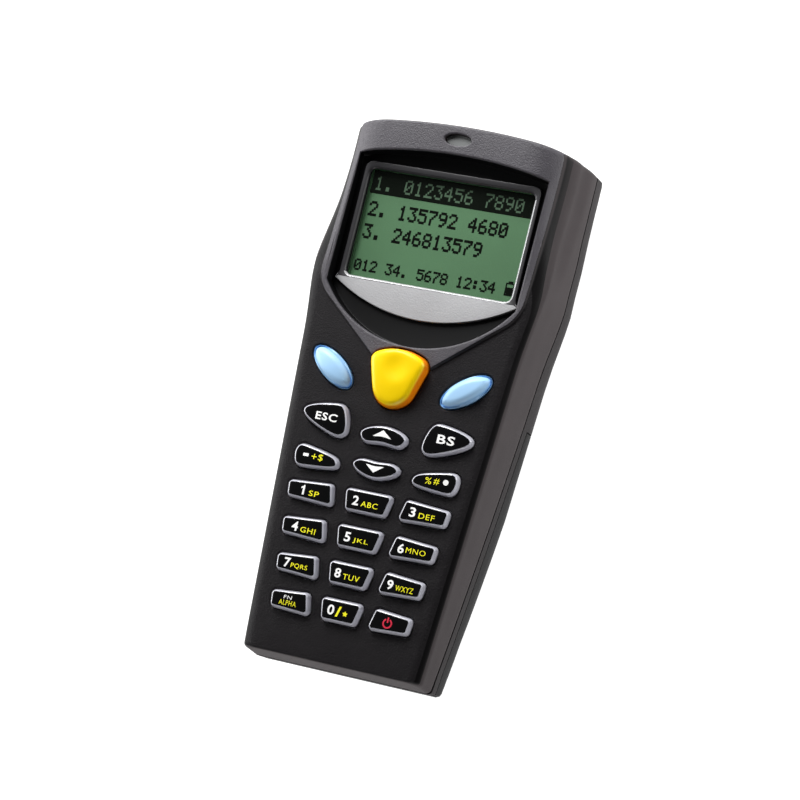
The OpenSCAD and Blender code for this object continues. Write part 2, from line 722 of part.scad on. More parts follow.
module screw(b, low, reach) {
    at(b[0], b[1], low) {
        difference() {
            cylinder(d = screw_head_d, h = screw_head_h);
            translate([0, 0, -1]) cylinder(d = 1.6, h = 1.8, $fn = 6);
        }
        cylinder(d = screw_d, h = reach - low);
    }
}

module case_screws() {
    color("dimgray") for (b = bosses)
        screw(b, boss_floor, parting_z(b[1]) + bite - 0.5);
}

module tail_screws() {
    color("dimgray") for (b = tail_bosses)
        screw(b, parting_z(b[1]) - door_lip + spot_h - screw_head_h, parting_z(b[1]) + bite - 0.5);
}

front_shell();
rear_shell();
battery_door();
display_bezel();
display_window();
display_gasket();
lcd_module();
indicator_lens();
scan_window();
scan_engine();
keypad_mat();
main_board();
board_parts();
buzzer();
backup_cell();
cells();
cell_springs();
cell_plates();
case_screws();
tail_screws();
for (k = KEYS)
    key(k);
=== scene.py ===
import bmesh
import bpy
import math
import numpy as np
from mathutils import Matrix, Vector
from mathutils.geometry import delaunay_2d_cdt


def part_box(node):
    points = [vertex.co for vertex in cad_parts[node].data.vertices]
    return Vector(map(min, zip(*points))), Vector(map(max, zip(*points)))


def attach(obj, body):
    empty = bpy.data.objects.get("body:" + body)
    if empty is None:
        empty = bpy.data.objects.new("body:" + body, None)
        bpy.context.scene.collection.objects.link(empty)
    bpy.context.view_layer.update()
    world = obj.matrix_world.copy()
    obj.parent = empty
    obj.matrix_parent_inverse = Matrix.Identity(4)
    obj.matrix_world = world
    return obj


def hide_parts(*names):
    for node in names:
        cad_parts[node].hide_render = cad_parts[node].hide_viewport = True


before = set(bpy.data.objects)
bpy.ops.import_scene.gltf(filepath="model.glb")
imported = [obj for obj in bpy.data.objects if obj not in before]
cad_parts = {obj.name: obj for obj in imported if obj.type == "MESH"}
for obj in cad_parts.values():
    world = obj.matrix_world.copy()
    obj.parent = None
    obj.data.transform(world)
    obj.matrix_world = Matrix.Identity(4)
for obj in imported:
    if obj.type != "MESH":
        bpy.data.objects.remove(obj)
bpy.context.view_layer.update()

# ---- Casing form -------------------------------------------------------------------------------
# The outside of the closed casing, which both shells and the door share. Millimetres, with v the
# distance along it from the edge of the face at the tail and z the height above the table.
LENGTH, THICK = 122.7, 30.0
TAIL_V = -1.3
HEAD_V, MID_V = TAIL_V + LENGTH, TAIL_V + LENGTH / 2
TAIL_W, HIP_W, HEAD_W, HIP_V, HIP_BUMP = 42.7, 55.3, 53.5, 88.0, 0.7
BUMP_REACH, HEAD_RUN = 18, 16
FLARE, BOW, BOW_FROM = 0.8, 2.3, 70
SEAM_TAIL, SEAM_HEAD, SEAM_CURVE = 8.5, 17.2, 2.2
WALL, SEAM = 1.8, 0.15
INSIDE = THICK - WALL


def mix(a, b, u):
    """a at u 0 and b at u 1, in a straight line."""
    return a + (b - a) * u


def ease(u):
    """u held between 0 and 1, then 3 u squared less 2 u cubed."""
    u = np.clip(u, 0, 1)
    return u * u * (3 - 2 * u)


def half_width(v):
    """Straight taper up to the hip, an eased one to the head, and a cosine bump of 0.7 mm at the hip."""
    v = np.asarray(v, float)
    wave = (1 + np.cos(np.pi * (v - HIP_V) / BUMP_REACH)) / 2
    bump = HIP_BUMP * np.where(np.abs(v - HIP_V) < BUMP_REACH, wave, 0)
    low = mix(TAIL_W / 2, HIP_W / 2 - HIP_BUMP, v / HIP_V)
    high = mix(HIP_W / 2 - HIP_BUMP, HEAD_W / 2, ease((v - HIP_V) / HEAD_RUN))
    return bump + np.where(v < HIP_V, low, high)


def flare(v):
    """Extra half width of the side walls below the shoulder, up to 0.8 mm at the head."""
    return FLARE * ease((np.asarray(v, float) - HIP_V - 2) / 12)


def bow(v):
    """How far the corners of a cross section lie back from its middle."""
    return BOW * ease((np.asarray(v, float) - BOW_FROM) / (LENGTH - BOW_FROM))


def parting(v):
    """Height of the seam between the shells: 8.5 mm under the face at the tail, 17.2 mm at the head."""
    share = 1 - np.clip(1 - np.asarray(v, float) / LENGTH, 0, 1) ** SEAM_CURVE
    return THICK - mix(SEAM_TAIL, SEAM_HEAD, share)


def outline(inset, side_inset=0.0, corner=1.2, run=64, across=30):
    """Closed plan of the casing, anticlockwise from the tail's left corner, as x and v before the bow.

    Straight ends, sides at half_width less the insets, and quarter-round corners whose x is pulled in
    by r - r sin t at a distance r - r cos t from the end.
    """
    r = max(corner - inset, 0.5)
    t = np.linspace(0, np.pi / 2, 9)[1:]
    near = inset + r * (1 - np.cos(t))
    v = np.concatenate([TAIL_V + near, np.linspace(TAIL_V + inset + r, HEAD_V - inset - r, run)[1:-1],
                        HEAD_V - near[::-1]])
    d = np.minimum(v - TAIL_V, HEAD_V - v) - inset
    pull = np.where(d < r, r - np.sqrt(np.clip(r * r - (r - d) ** 2, 0, None)), 0)
    sides = side_inset(v) if callable(side_inset) else side_inset
    x = half_width(v) - inset - sides - pull
    ends = []
    for end in (TAIL_V + inset, HEAD_V - inset):
        s = side_inset(np.array([end]))[0] if callable(side_inset) else side_inset
        ends.append(half_width(end) - inset - s - r)
    row = np.linspace(-1, 1, across + 1)
    xs = np.concatenate([row * ends[0], x, -row * ends[1], -x[::-1]])
    vs = np.concatenate([np.full(across + 1, TAIL_V + inset), v, np.full(across + 1, HEAD_V - inset), v[::-1]])
    return xs, vs


def bowed(x, v):
    """The v of a point once its cross section is bowed: v less bow times the square of its share of the width."""
    return v - bow(v) * (x / (half_width(v) + flare(v))) ** 2


def between(rows, closed=True):
    """Quads of a grid whose rows are loops of the same count of points, lowest row first."""
    n = len(rows[0])
    points = np.concatenate(rows)
    j = np.arange(n if closed else n - 1)
    k = (j + 1) % n
    quads = [np.column_stack([i * n + j, i * n + k, (i + 1) * n + k, (i + 1) * n + j]) for i in range(len(rows) - 1)]
    return points, np.concatenate(quads)


def within(p, loop):
    """True where a point lies in a closed outline, by counting the edges that a line from it to +x crosses."""
    a, b = loop, np.roll(loop, -1, axis=0)
    y = p[:, 1:2]
    over = (a[None, :, 1] > y) != (b[None, :, 1] > y)
    rise = np.where(np.abs(b[:, 1] - a[:, 1]) < 1e-12, 1e-12, b[:, 1] - a[:, 1])
    at = a[None, :, 0] + (y - a[None, :, 1]) * (b[:, 0] - a[:, 0]) / rise
    return (over & (p[:, 0:1] < at)).sum(axis=1) % 2 == 1


def depth_in(p, loop):
    """Distance of each point from a closed outline, positive inside it."""
    a, d = loop, np.roll(loop, -1, axis=0) - loop
    t = np.clip(((p[:, None] - a) * d).sum(2) / np.maximum((d * d).sum(1), 1e-12), 0, 1)
    gap = np.linalg.norm(p[:, None] - a - t[..., None] * d, axis=2).min(axis=1)
    return np.where(within(p, loop), gap, -gap)


def infill(loops, keep, lift, extra=(), threads=(), apart=None):
    """Triangles between outlines, by a constrained Delaunay triangulation of the loops and the threads.

    Triangles whose middle passes `keep` stay, with z from lift(points). Threads are outlines that only guide
    the triangles: their points outside the first loop or inside `apart`, or within 0.07 mm of these, are left out.
    """
    points, edges, base = [], [], 0
    for place, loop in enumerate(list(loops) + list(threads)):
        n = len(loop)
        use = np.ones(n, bool)
        if place >= len(loops):
            use = depth_in(loop, loops[0]) > 0.07
            use &= use if apart is None else depth_in(loop, apart) < -0.07
        number = base + np.cumsum(use) - 1
        both = use & np.roll(use, -1)
        points += [tuple(q) for q in np.asarray(loop)[use]]
        edges += list(zip(number[both].tolist(), np.roll(number, -1)[both].tolist()))
        base += int(use.sum())
    got = delaunay_2d_cdt(points + [tuple(q) for q in extra], edges, [], 0, 1e-5)
    p = np.array([tuple(q) for q in got[0]], float)
    tri = np.array([f for f in got[2] if len(f) == 3], int)
    tri = tri[keep(p[tri].mean(axis=1))]
    a, b, c = (p[tri[:, i]] for i in range(3))
    turn = (b[:, 0] - a[:, 0]) * (c[:, 1] - a[:, 1]) - (b[:, 1] - a[:, 1]) * (c[:, 0] - a[:, 0])
    tri = np.where((turn < 0)[:, None], tri[:, ::-1], tri)[np.abs(turn) > 1e-9]
    used, tri = np.unique(tri, return_inverse=True)
    return np.column_stack([p[used], lift(p[used])]), tri.reshape(-1, 3)


def rim_edges(tri):
    """The edges that belong to one triangle only, in that triangle's direction."""
    e = np.concatenate([tri[:, [0, 1]], tri[:, [1, 2]], tri[:, [2, 0]]])
    key = np.sort(e, axis=1)
    _, first, count = np.unique(key, axis=0, return_index=True, return_counts=True)
    return e[first[count == 1]]


def chains(edges):
    """The directed edges joined end to end into closed loops of point numbers."""
    after, loops = dict(edges.tolist()), []
    while after:
        loop = [next(iter(after))]
        while loop[-1] in after:
            loop.append(after.pop(loop[-1]))
        loops.append(np.array(loop[:-1]))
    return loops


def piece(name, grids, materials, body, replaced=(), sharp=38, weld=2e-3, turn_out=True):
    """One object from grids of (points in mm with v for y, faces, material index), joined and welded, with
    smooth shading except across edges sharper than `sharp` degrees."""
    points, faces, index, base = [], [], [], 0
    for grid in grids:
        points.append(np.asarray(grid[0], float))
        faces += [tuple(int(i) + base for i in f) for f in grid[1]]
        index += [grid[2] if len(grid) > 2 else 0] * len(grid[1])
        base += len(grid[0])
    xyz = np.concatenate(points) * 0.001
    xyz[:, 1] -= MID_V * 0.001
    mesh = bpy.data.meshes.new(name)
    mesh.from_pydata(xyz, [], faces)
    mesh.polygons.foreach_set("material_index", index)
    b = bmesh.new()
    b.from_mesh(mesh)
    bmesh.ops.remove_doubles(b, verts=b.verts, dist=weld * 0.001)
    bmesh.ops.dissolve_degenerate(b, edges=b.edges, dist=1e-7)
    if turn_out:
        bmesh.ops.recalc_face_normals(b, faces=b.faces)
    b.to_mesh(mesh)
    b.free()
    mesh.polygons.foreach_set("use_smooth", [True] * len(mesh.polygons))
    mesh.set_sharp_from_angle(angle=math.radians(sharp))
    obj = bpy.data.objects.new(name, mesh)
    bpy.context.scene.collection.objects.link(obj)
    for m in materials:
        mesh.materials.append(m)
    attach(obj, body)
    if replaced:
        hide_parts(*replaced)
    return obj


# ---- Plans of the keys and the display ---------------------------------------------------------
# Outlines as rows of (x, v), anticlockwise. Every hole in the face is its key's plan grown by a gap.
# The number keys stand in rows from the tail, and every key's outline is carried as the same count of points.
ROW_V, ROW_PITCH, KEY_H = 8.8, 8.08, 5.15
KEY_POINTS = 64


def arch(x, v, rise, steps=16):
    """Points of a circle's arc from (-x, v) to (x, v) whose middle is at v + rise."""
    s = abs(rise)
    r = (x * x + s * s) / (2 * s)
    t = np.linspace(-1, 1, steps + 1) * math.asin(x / r)
    return np.column_stack([r * np.sin(t), v + rise - math.copysign(1, rise) * r * (1 - np.cos(t))])


def mirrored(loop):
    """The outline seen from the other side, still anticlockwise."""
    return np.asarray(loop, float)[::-1] * [-1, 1]


def grown(loop, g):
    """Every side of the outline moved out by g, and the corners kept."""
    b = np.asarray(loop, float)
    p = b - np.roll(b, 1, axis=0)
    q = np.roll(b, -1, axis=0) - b
    p = np.column_stack([p[:, 1], -p[:, 0]]) / np.linalg.norm(p, axis=1)[:, None]
    q = np.column_stack([q[:, 1], -q[:, 0]]) / np.linalg.norm(q, axis=1)[:, None]
    return b + g * (p + q) / (1 + (p * q).sum(axis=1))[:, None]


def rounded(loop, r, steps=7):
    """Corners replaced by arcs of radius r, or as far as the sides allow."""
    out, pts = [], np.asarray(loop, float)
    for i, b in enumerate(pts):
        a, c = pts[i - 1] - b, pts[(i + 1) % len(pts)] - b
        p, q = a / np.linalg.norm(a), c / np.linalg.norm(c)
        half = math.acos(float(np.clip(p @ q, -1, 1))) / 2
        rr = min(r, 0.49 * min(np.linalg.norm(a), np.linalg.norm(c)) * math.tan(half))
        centre = b + (p + q) / np.linalg.norm(p + q) * rr / math.sin(half)
        start, sweep = math.atan2(p[0], -p[1]), math.pi - 2 * half
        t = start + sweep * np.linspace(0, 1, steps + 1)
        out.append(centre + rr * np.column_stack([np.cos(t), np.sin(t)]))
    return np.concatenate(out)


def spread(loop, count):
    """The outline again as `count` points at equal distances along it."""
    p = np.vstack([loop, loop[:1]])
    s = np.concatenate([[0], np.cumsum(np.linalg.norm(np.diff(p, axis=0), axis=1))])
    at = np.linspace(0, s[-1], count, endpoint=False)
    return np.column_stack([np.interp(at, s, p[:, 0]), np.interp(at, s, p[:, 1])])


def eased(loop, times=2):
    """The outline with its corners cut at a quarter of each side, `times` times over."""
    a = np.asarray(loop, float)
    for _ in range(times):
        b = np.roll(a, -1, axis=0)
        a = np.stack([mix(a, b, 0.25), mix(a, b, 0.75)], axis=1).reshape(-1, 2)
    return a


BS_PLAN = eased([[8.9, 50], [9.2, 48.9], [10.5, 48], [12.8, 48.3], [16.4, 49.6], [19.2, 51], [20.5, 52.2],
                 [20.5, 53.3], [19.3, 54.3], [16, 55.2], [12.4, 55.7], [11.2, 55.5], [10.1, 54.4], [9.2, 52]])
PERCENT_PLAN = eased([[8.6, 42.6], [8.8, 41.5], [10.5, 41], [14.5, 40.6], [17.7, 40.4], [18.8, 40.8], [19.5, 42],
                      [19.7, 44], [19, 45.3], [17.9, 45.8], [15, 45.3], [11.4, 44.6], [9.3, 43.8]])
UP_PLAN = eased([[-5.8, 50.3], [-5.2, 49.1], [-4.2, 48.4], [-3, 48.3], [0, 48.7], [3, 48.3], [4.2, 48.4],
                 [5.2, 49.1], [5.8, 50.3], [5.3, 51.3], [3.9, 52.1], [2.2, 52.6], [0, 52.9], [-2.2, 52.6],
                 [-3.9, 52.1], [-5.3, 51.3]])
DOWN_PLAN = eased([[-5.8, 43.4], [-5.2, 42.6], [-4.2, 41.8], [-2, 41], [0, 40.7], [2, 41], [4.2, 41.8], [5.2, 42.6],
                   [5.8, 43.4], [5.3, 44.3], [4.2, 44.9], [2.8, 45.1], [0, 44.8], [-2.8, 45.1],
                   [-4.2, 44.9], [-5.3, 44.3]])


def number_plan(row, col):
    """A number key, row 0 the lowest: the outer ones are lower at their far end and close in to the tail."""
    a = ROW_V + row * ROW_PITCH
    b = a + KEY_H
    low, high = 4.1 + 0.25 * row, 5.1 + 0.25 * row
    if col == 0:
        return [[-low, a], [low, a], [high, b], [-high, b]]
    side = [[low + 2.65, a], [16.4 + 0.85 * row, a + 0.5], [16.85 + 0.85 * row, b - 0.8], [high + 2.85, b]]
    return side if col == 1 else mirrored(side)


def scan_plan():
    """The scan key: a broad arch at the head that narrows to a round tail end."""
    t = np.radians(np.linspace(-162, -18, 33))
    low = np.column_stack([5.1 * np.cos(t), 61.9 + 5.1 * np.sin(t)])
    high = np.vstack([[[6.6, 66], [6.8, 67.3]], arch(5.9, 68.6, 1.5, 18)[::-1], [[-6.8, 67.3], [-6.6, 66]]])
    return np.vstack([low, high]) - [0.5, 0]


def blue_plan(side):
    """An ellipse 12.8 by 5.6 mm whose outer end points to the head."""
    t, s = np.radians(np.arange(0, 360, 5)), math.radians(36) * side
    u, w = 6.3 * np.cos(t), 2.75 * np.sin(t)
    return np.column_stack([side * 15.9 + u * math.cos(s) - w * math.sin(s), 63.5 + u * math.sin(s) + w * math.cos(s)])


# name: plan, corner radius, height of the top over the face, radius of the domed top
KEYS = {
    "key_scan": (scan_plan(), 0, 2.7, 34),
    "key_blue_left": (blue_plan(-1), 0, 2, 15),
    "key_blue_right": (blue_plan(1), 0, 2, 15),
    "key_esc": (mirrored(BS_PLAN) + [0.4, 0.2], 0, 1.5, 40),
    "key_bs": (BS_PLAN, 0, 1.5, 40),
    "key_up": (UP_PLAN, 0, 1.5, 40),
    "key_down": (DOWN_PLAN, 0, 1.5, 40),
    "key_minus": (mirrored(PERCENT_PLAN), 0, 1.5, 40),
    "key_percent": (PERCENT_PLAN, 0, 1.5, 40),
}
for place, label in enumerate(["1", "2", "3", "4", "5", "6", "7", "8", "9", "fn", "0", "power"]):
    KEYS["key_" + label] = (number_plan(3 - place // 3, place % 3 - 1), 1.1, 1.5, 40)


def key_loop(name, g):
    """A key's plan with its sides moved out by g, as 64 points; on a plan of four sides, 16 at each corner."""
    plan, radius = KEYS[name][:2]
    if not radius:
        return spread(grown(plan, g), KEY_POINTS)
    arcs = rounded(grown(plan, g), max(radius + g, 0.25)).reshape(4, 8, 2)
    share = np.arange(1, 9)[:, None] / 9
    return np.concatenate([np.vstack([arcs[i], mix(arcs[i, -1], arcs[i - 3, 0], share)]) for i in range(4)])


def recess_loop(g=0.0):
    """The display recess: a shallow arch at the head, straight sides and a deep arch towards the keys."""
    x, r = 22.6 + g, 27.5 + g
    drop = math.sqrt(r * r - x * x)
    low = arch(x, 70.9 - g + r - drop, drop - r, 48)
    rise = x * x / 208
    return np.vstack([low, arch(x, 114.8 + g - rise, rise, 28)[::-1]])


FRAME_SIDE = 24.4
frame_loop = rounded(
    [[-FRAME_SIDE, 81.6], [0, 61.4], [FRAME_SIDE, 81.6], [FRAME_SIDE + 0.2, 126], [-FRAME_SIDE - 0.2, 126]], 9, 12)
FRAME_H, RECESS_Z = 0.6, 27.0
WIN_W, WIN_H, WIN_V = 40.4, 25.4, 84.9
window_corners = np.array([[-WIN_W / 2, WIN_V], [WIN_W / 2, WIN_V],
                           [WIN_W / 2, WIN_V + WIN_H], [-WIN_W / 2, WIN_V + WIN_H]])
LENS_W, LENS_L, LENS_V = 6.4, 2.7, 118.2


def lens_loop(scale=1.0, g=0.0, count=48):
    """The oval of the indicator, scaled about its middle and grown by g."""
    t = np.linspace(0, 2 * np.pi, count, endpoint=False)
    return np.column_stack([(LENS_W / 2 * scale + g) * np.cos(t), LENS_V + (LENS_L / 2 * scale + g) * np.sin(t)])


# ---- Front shell -------------------------------------------------------------------------------
# One moulding of charcoal ABS with a fine eroded grain. Its edges roll over into the side walls, a
# raised frame runs round the display recess, and the key holes have small moulded lips.
LIP, RIM, END_ROLL, CORNER, FACE_INSET = 0.3, 0.45, 0.6, 1.2, 0.15
FRAME, WALLS, RECESS, SHOULDER = 1, 2, 3, 4
SHADOW_GAP = 0.35
# The shoulder's outer band gets painted shade from the first share, and the walls painted light from the second.
PAINTED_SHADE_FROM, WALL_FROM = 0.56, 0.89  # shares of the shoulder at which its finish changes
PAN_LOW, PAN_WALL = RECESS_Z - 0.8, 0.5
holes = {name: key_loop(name, 0.3) for name in KEYS}


def quarter(d, r):
    """Fall of a quarter-round edge of radius r at a distance d from its outer end: r - sqrt(r2 - (r - d)2)."""
    d = np.clip(d, 0, r)
    return r - np.sqrt(np.clip(r * r - (r - d) ** 2, 0, None))


def shoulder(v):
    """Width of the rolled shoulder: 3 mm along the keys, 9 mm along the display."""
    return mix(3.0, 9.0, ease((v - HIP_V + 6) / 12))


def shoulder_drop(v):
    """Depth of the rolled shoulder: 2.6 mm along the keys, growing to 8.3 mm at the head."""
    return mix(2.6, 8.3, ease((v - HIP_V + 6) / 34))


def unbowed(x, v):
    """The distance from the tail before the cross section was bowed, by three rounds of substitution."""
    far = v
    for _ in range(3):
        far = v + bow(far) * (x / (half_width(far) + flare(far))) ** 2
    return far


def shoulder_share(p):
    """How far across the shoulder a point lies: 0 at its start on the flat face, 1 at the side wall."""
    x, v = np.abs(p[:, 0]), unbowed(p[:, 0], p[:, 1])
    width = shoulder(v)
    return np.clip((x - half_width(v) + quarter(np.minimum(v - TAIL_V, HEAD_V - v), CORNER) + width) / width, 0, 1)


def top_height(p):
    """The rolled top of the casing with the head frame on it.

    The flat face at 30 mm falls as a quarter ellipse across the shoulder and as a 0.6 mm quarter round at
    both ends. Inside the frame's outline it lies 0.6 mm higher.
    """
    v = unbowed(p[:, 0], p[:, 1])
    ends = quarter(np.minimum(v - TAIL_V, HEAD_V - v), END_ROLL)
    base = THICK - ends - shoulder_drop(v) * (1 - np.sqrt(1 - shoulder_share(p) ** 2))
    return base + FRAME_H * ease(depth_in(p, frame_loop) / 0.5 + 0.5)


def face_height(p):
    """The top less the rounded lips of the key holes, the recess and the indicator."""
    drop = quarter(-depth_in(p, recess_loop()), RIM) * (depth_in(p, recess_loop()) > -RIM)
    drop = np.maximum(drop, quarter(-depth_in(p, lens_loop()), 0.35))
    for loop in holes.values():
        near = np.abs(p - loop.mean(axis=0)).max(axis=1) < 12
        drop[near] = np.maximum(drop[near], quarter(-depth_in(p[near], loop), LIP))
    return top_height(p) - drop


x, v = outline(FACE_INSET, across=40)
face_edge = np.column_stack([x, bowed(x, v)])
guides = []
for out in (0, 0.2, 0.4, PAINTED_SHADE_FROM, 0.7, 0.81, WALL_FROM, 0.95):
    x, v = outline((1 - out) * END_ROLL, lambda v, out=out: (1 - out) * (shoulder(v) - END_ROLL), across=40)
    guides.append(np.column_stack([x, bowed(x, v)]))
for e in (-0.4, -0.25, -0.16, -0.06, 0.06, 0.16, 0.25, 0.4):
    guides.append(spread(grown(frame_loop, e), 300))
loops = [face_edge]
for e in (0, 0.05, 0.14, 0.28, RIM, RIM + 0.1):
    loops.append(recess_loop(e))
for e in (0, 0.04, 0.12, 0.22, 0.35, 0.43):
    loops.append(lens_loop(1, e))
for name in KEYS:
    for e in (0, 0.04, 0.1, 0.19, LIP, LIP + 0.08):
        loops.append(holes[name] if e == 0 else key_loop(name, 0.3 + e))


def on_face(p):
    """True on the face: inside its edge and in no hole."""
    ok = within(p, face_edge) & ~within(p, recess_loop()) & ~within(p, lens_loop())
    for loop in holes.values():
        ok &= ~within(p, loop)
    return ok


face_points, face_tri = infill(loops, on_face, face_height, threads=guides, apart=recess_loop(RIM + 0.1))
edges = rim_edges(face_tri)
middles = face_points[edges].mean(axis=1)[:, :2]
in_hole = within(middles, grown(face_edge, -0.1)) & (np.abs(depth_in(middles, recess_loop())) > 0.02)
hole_edges = edges[in_hole]
lower = face_points[hole_edges[:, ::-1]] * [1, 1, 0] + [0, 0, INSIDE]
hole_wall = np.concatenate([face_points[hole_edges], lower], axis=1).reshape(-1, 3)
hole_quads = np.arange(len(hole_wall)).reshape(-1, 4)

# Rolled rim, side walls down to the seam, the lower edge's small radius and the inner wall
rows = []
for inset in (FACE_INSET, 0.09, 0.05, 0.02, 0):
    x, v = outline(inset, across=40)
    p = np.column_stack([x, bowed(x, v)])
    rows.append(np.column_stack([p, face_height(p)]))
x, v = outline(0, across=40)
wall_top = rows[-1][:, 2]
seam_z = parting(v) + SEAM + SHADOW_GAP


def wall_row(inset, z):
    """A loop of the side wall at height z: the flare comes in over the 6 mm under the shoulder."""
    x, v = outline(inset, across=40)
    x = x * (1 + ease((wall_top - z) / 6) * (flare(v) + 0.15) / half_width(v))
    return np.column_stack([x, bowed(x, v), z])


rows += [wall_row(0, mix(wall_top, seam_z + 0.3, t)) for t in np.linspace(0, 1, 11)[1:]]
rows += [wall_row(0.04, seam_z + 0.13), wall_row(0.13, seam_z + 0.04), wall_row(0.3, seam_z), wall_row(WALL, seam_z)]
x, v = outline(WALL, across=40)
inner_edge = np.column_stack([x, bowed(x, v)])


def inner_height(p):
    """Height of the inner face: level, except that it keeps 1.4 mm under the fall of the shoulders."""
    return np.minimum(INSIDE, top_height(p) - 1.4)


rows.append(np.column_stack([inner_edge, inner_height(inner_edge)]))
rim_skin, wall_skin, inner_skin = between(rows[4::-1]), between(rows[17:3:-1]), between(rows[:16:-1])
hole_rings = [face_points[ring, :2] for ring in chains(hole_edges)]


def inside_keep(p):
    """True on the inner face: inside the walls, outside the pan and in no hole."""
    ok = within(p, inner_edge) & ~within(p, recess_loop(PAN_WALL))
    for ring in hole_rings:
        ok &= ~within(p, ring)
    return ok


flat = lambda z: lambda p: np.full(len(p), z)
window_hole = spread(rounded(window_corners, 1.2), 120)
gx, gv = np.meshgrid(np.arange(-24.5, 25, 1.4), np.arange(76, HEAD_V - WALL, 2.5))
spots = np.column_stack([gx.ravel(), gv.ravel()])
spots = spots[(depth_in(spots, inner_edge) > 0.6) & (depth_in(spots, recess_loop(PAN_WALL)) < -0.6)]
inner_face = infill([inner_edge, recess_loop(PAN_WALL)] + hole_rings, inside_keep, inner_height, extra=spots)
rim_z = face_height(recess_loop())
pan_rows = [(0, rim_z), (-0.04, rim_z - 0.6), (-0.1, RECESS_Z + 0.4), (-0.16, RECESS_Z + 0.17),
            (-0.28, RECESS_Z + 0.05), (-0.45, RECESS_Z)]
pan_in = between([np.column_stack([recess_loop(g), np.broadcast_to(z, len(rim_z))]) for g, z in pan_rows])
pan_floor = infill([recess_loop(-0.45), window_hole],
                   lambda p: within(p, recess_loop(-0.45)) & ~within(p, window_hole), flat(RECESS_Z))
pan_under = infill([recess_loop(PAN_WALL), window_hole],
                   lambda p: within(p, recess_loop(PAN_WALL)) & ~within(p, window_hole), flat(PAN_LOW))
pan_edge = recess_loop(PAN_WALL)
pan_out = between([np.column_stack([pan_edge, inner_height(pan_edge)]),
                   np.column_stack([pan_edge, np.full(len(pan_edge), PAN_LOW)])])
pan_hole = between([np.column_stack([window_hole, np.full(len(window_hole), z)]) for z in (RECESS_Z, PAN_LOW)])


def rgb(r, g, b):
    """A screen colour of 0 to 255 as the linear colour that a shader takes."""
    c = np.array([r, g, b]) / 255
    return (*np.where(c < 0.04045, c / 12.92, ((c + 0.055) / 1.055) ** 2.4).tolist(), 1.0)


def finish_of(name, colour, rough, grain=0.25, depth=0.01, cloud=0.12, gloss_change=0.06, sockets=None, upright_painted_shading=None):
    """A procedural surface on Object coordinates.

    A noise of `grain` mm gives bumps of `depth` mm and shifts the roughness by `gloss_change`, and a broad
    noise of 9 mm takes the colour up and down by the share `cloud`. Where the surface turns upright, the colour
    goes over to the upright colour: painted light or painted shade that follows how the surface faces.
    """
    m = bpy.data.materials.new(name)
    m.use_nodes = True
    n, link = m.node_tree.nodes, m.node_tree.links.new
    shader = n["Principled BSDF"]
    shader.inputs["Base Color"].default_value = colour
    for socket, value in (sockets or {}).items():
        shader.inputs[socket].default_value = value
    where = n.new("ShaderNodeTexCoord").outputs["Object"]
    fine = n.new("ShaderNodeTexNoise")
    fine.inputs["Scale"].default_value = 1000 / grain
    fine.inputs["Detail"].default_value = 3
    fine.inputs["Roughness"].default_value = 0.6
    link(where, fine.inputs["Vector"])
    bump = n.new("ShaderNodeBump")
    bump.inputs["Strength"].default_value = 1
    bump.inputs["Distance"].default_value = depth / 1000
    link(fine.outputs["Fac"], bump.inputs["Height"])
    link(bump.outputs["Normal"], shader.inputs["Normal"])
    level = n.new("ShaderNodeMapRange")
    level.inputs["To Min"].default_value = rough - gloss_change
    level.inputs["To Max"].default_value = rough + gloss_change
    link(fine.outputs["Fac"], level.inputs["Value"])
    link(level.outputs["Result"], shader.inputs["Roughness"])
    broad = n.new("ShaderNodeTexNoise")
    broad.inputs["Scale"].default_value = 110
    broad.inputs["Detail"].default_value = 4
    link(where, broad.inputs["Vector"])
    ramp = n.new("ShaderNodeMapRange")
    ramp.inputs["From Min"].default_value = 0.3
    ramp.inputs["From Max"].default_value = 0.7
    ramp.inputs["To Min"].default_value = 1 - cloud
    ramp.inputs["To Max"].default_value = 1 + cloud
    link(broad.outputs["Fac"], ramp.inputs["Value"])
    tint = n.new("ShaderNodeVectorMath")
    tint.operation = "SCALE"
    tint.inputs[0].default_value = colour[:3]
    # Painted light and shade: the colour changes with the tilt of the surface's normal.
    if upright_painted_shading:
        axes = n.new("ShaderNodeSeparateXYZ")
        link(n["Texture Coordinate"].outputs["Normal"], axes.inputs["Vector"])
        lean = n.new("ShaderNodeMapRange")
        lean.inputs["From Min"].default_value = 0.62
        lean.inputs["From Max"].default_value = 0.25
        link(axes.outputs["Z"], lean.inputs["Value"])
        blend = n.new("ShaderNodeMix")
        blend.data_type = "VECTOR"
        blend.inputs["A"].default_value = colour[:3]
        blend.inputs["B"].default_value = upright_painted_shading[:3]
        link(lean.outputs["Result"], blend.inputs["Factor"])
        link(blend.outputs["Result"], tint.inputs[0])
    link(ramp.outputs["Result"], tint.inputs["Scale"])
    link(tint.outputs["Vector"], shader.inputs["Base Color"])
    return m


# The face's own charcoal, going grey on upright faces such as hole walls and the tail end as painted light.
face_black = finish_of("face_black", rgb(27, 25, 27), 0.5, grain=0.34, depth=0.15, cloud=0.08,
                       sockets={"Specular IOR Level": 0.12}, upright_painted_shading=rgb(66, 61, 62))
# The head frame: a lighter copy of the charcoal, partly its coarser grain and partly painted sheen.
frame_grain_painted_sheen = finish_of("frame_grain_painted_sheen", rgb(66, 63, 69), 0.5, grain=0.32, depth=0.12, cloud=0.08, gloss_change=0.12)
# The side walls: a lighter copy of the same charcoal, as painted light.
wall_painted_light = finish_of("wall_painted_light", rgb(66, 61, 62), 0.6, grain=0.3, depth=0.03, cloud=0.06,
                       sockets={"Specular IOR Level": 0.08})
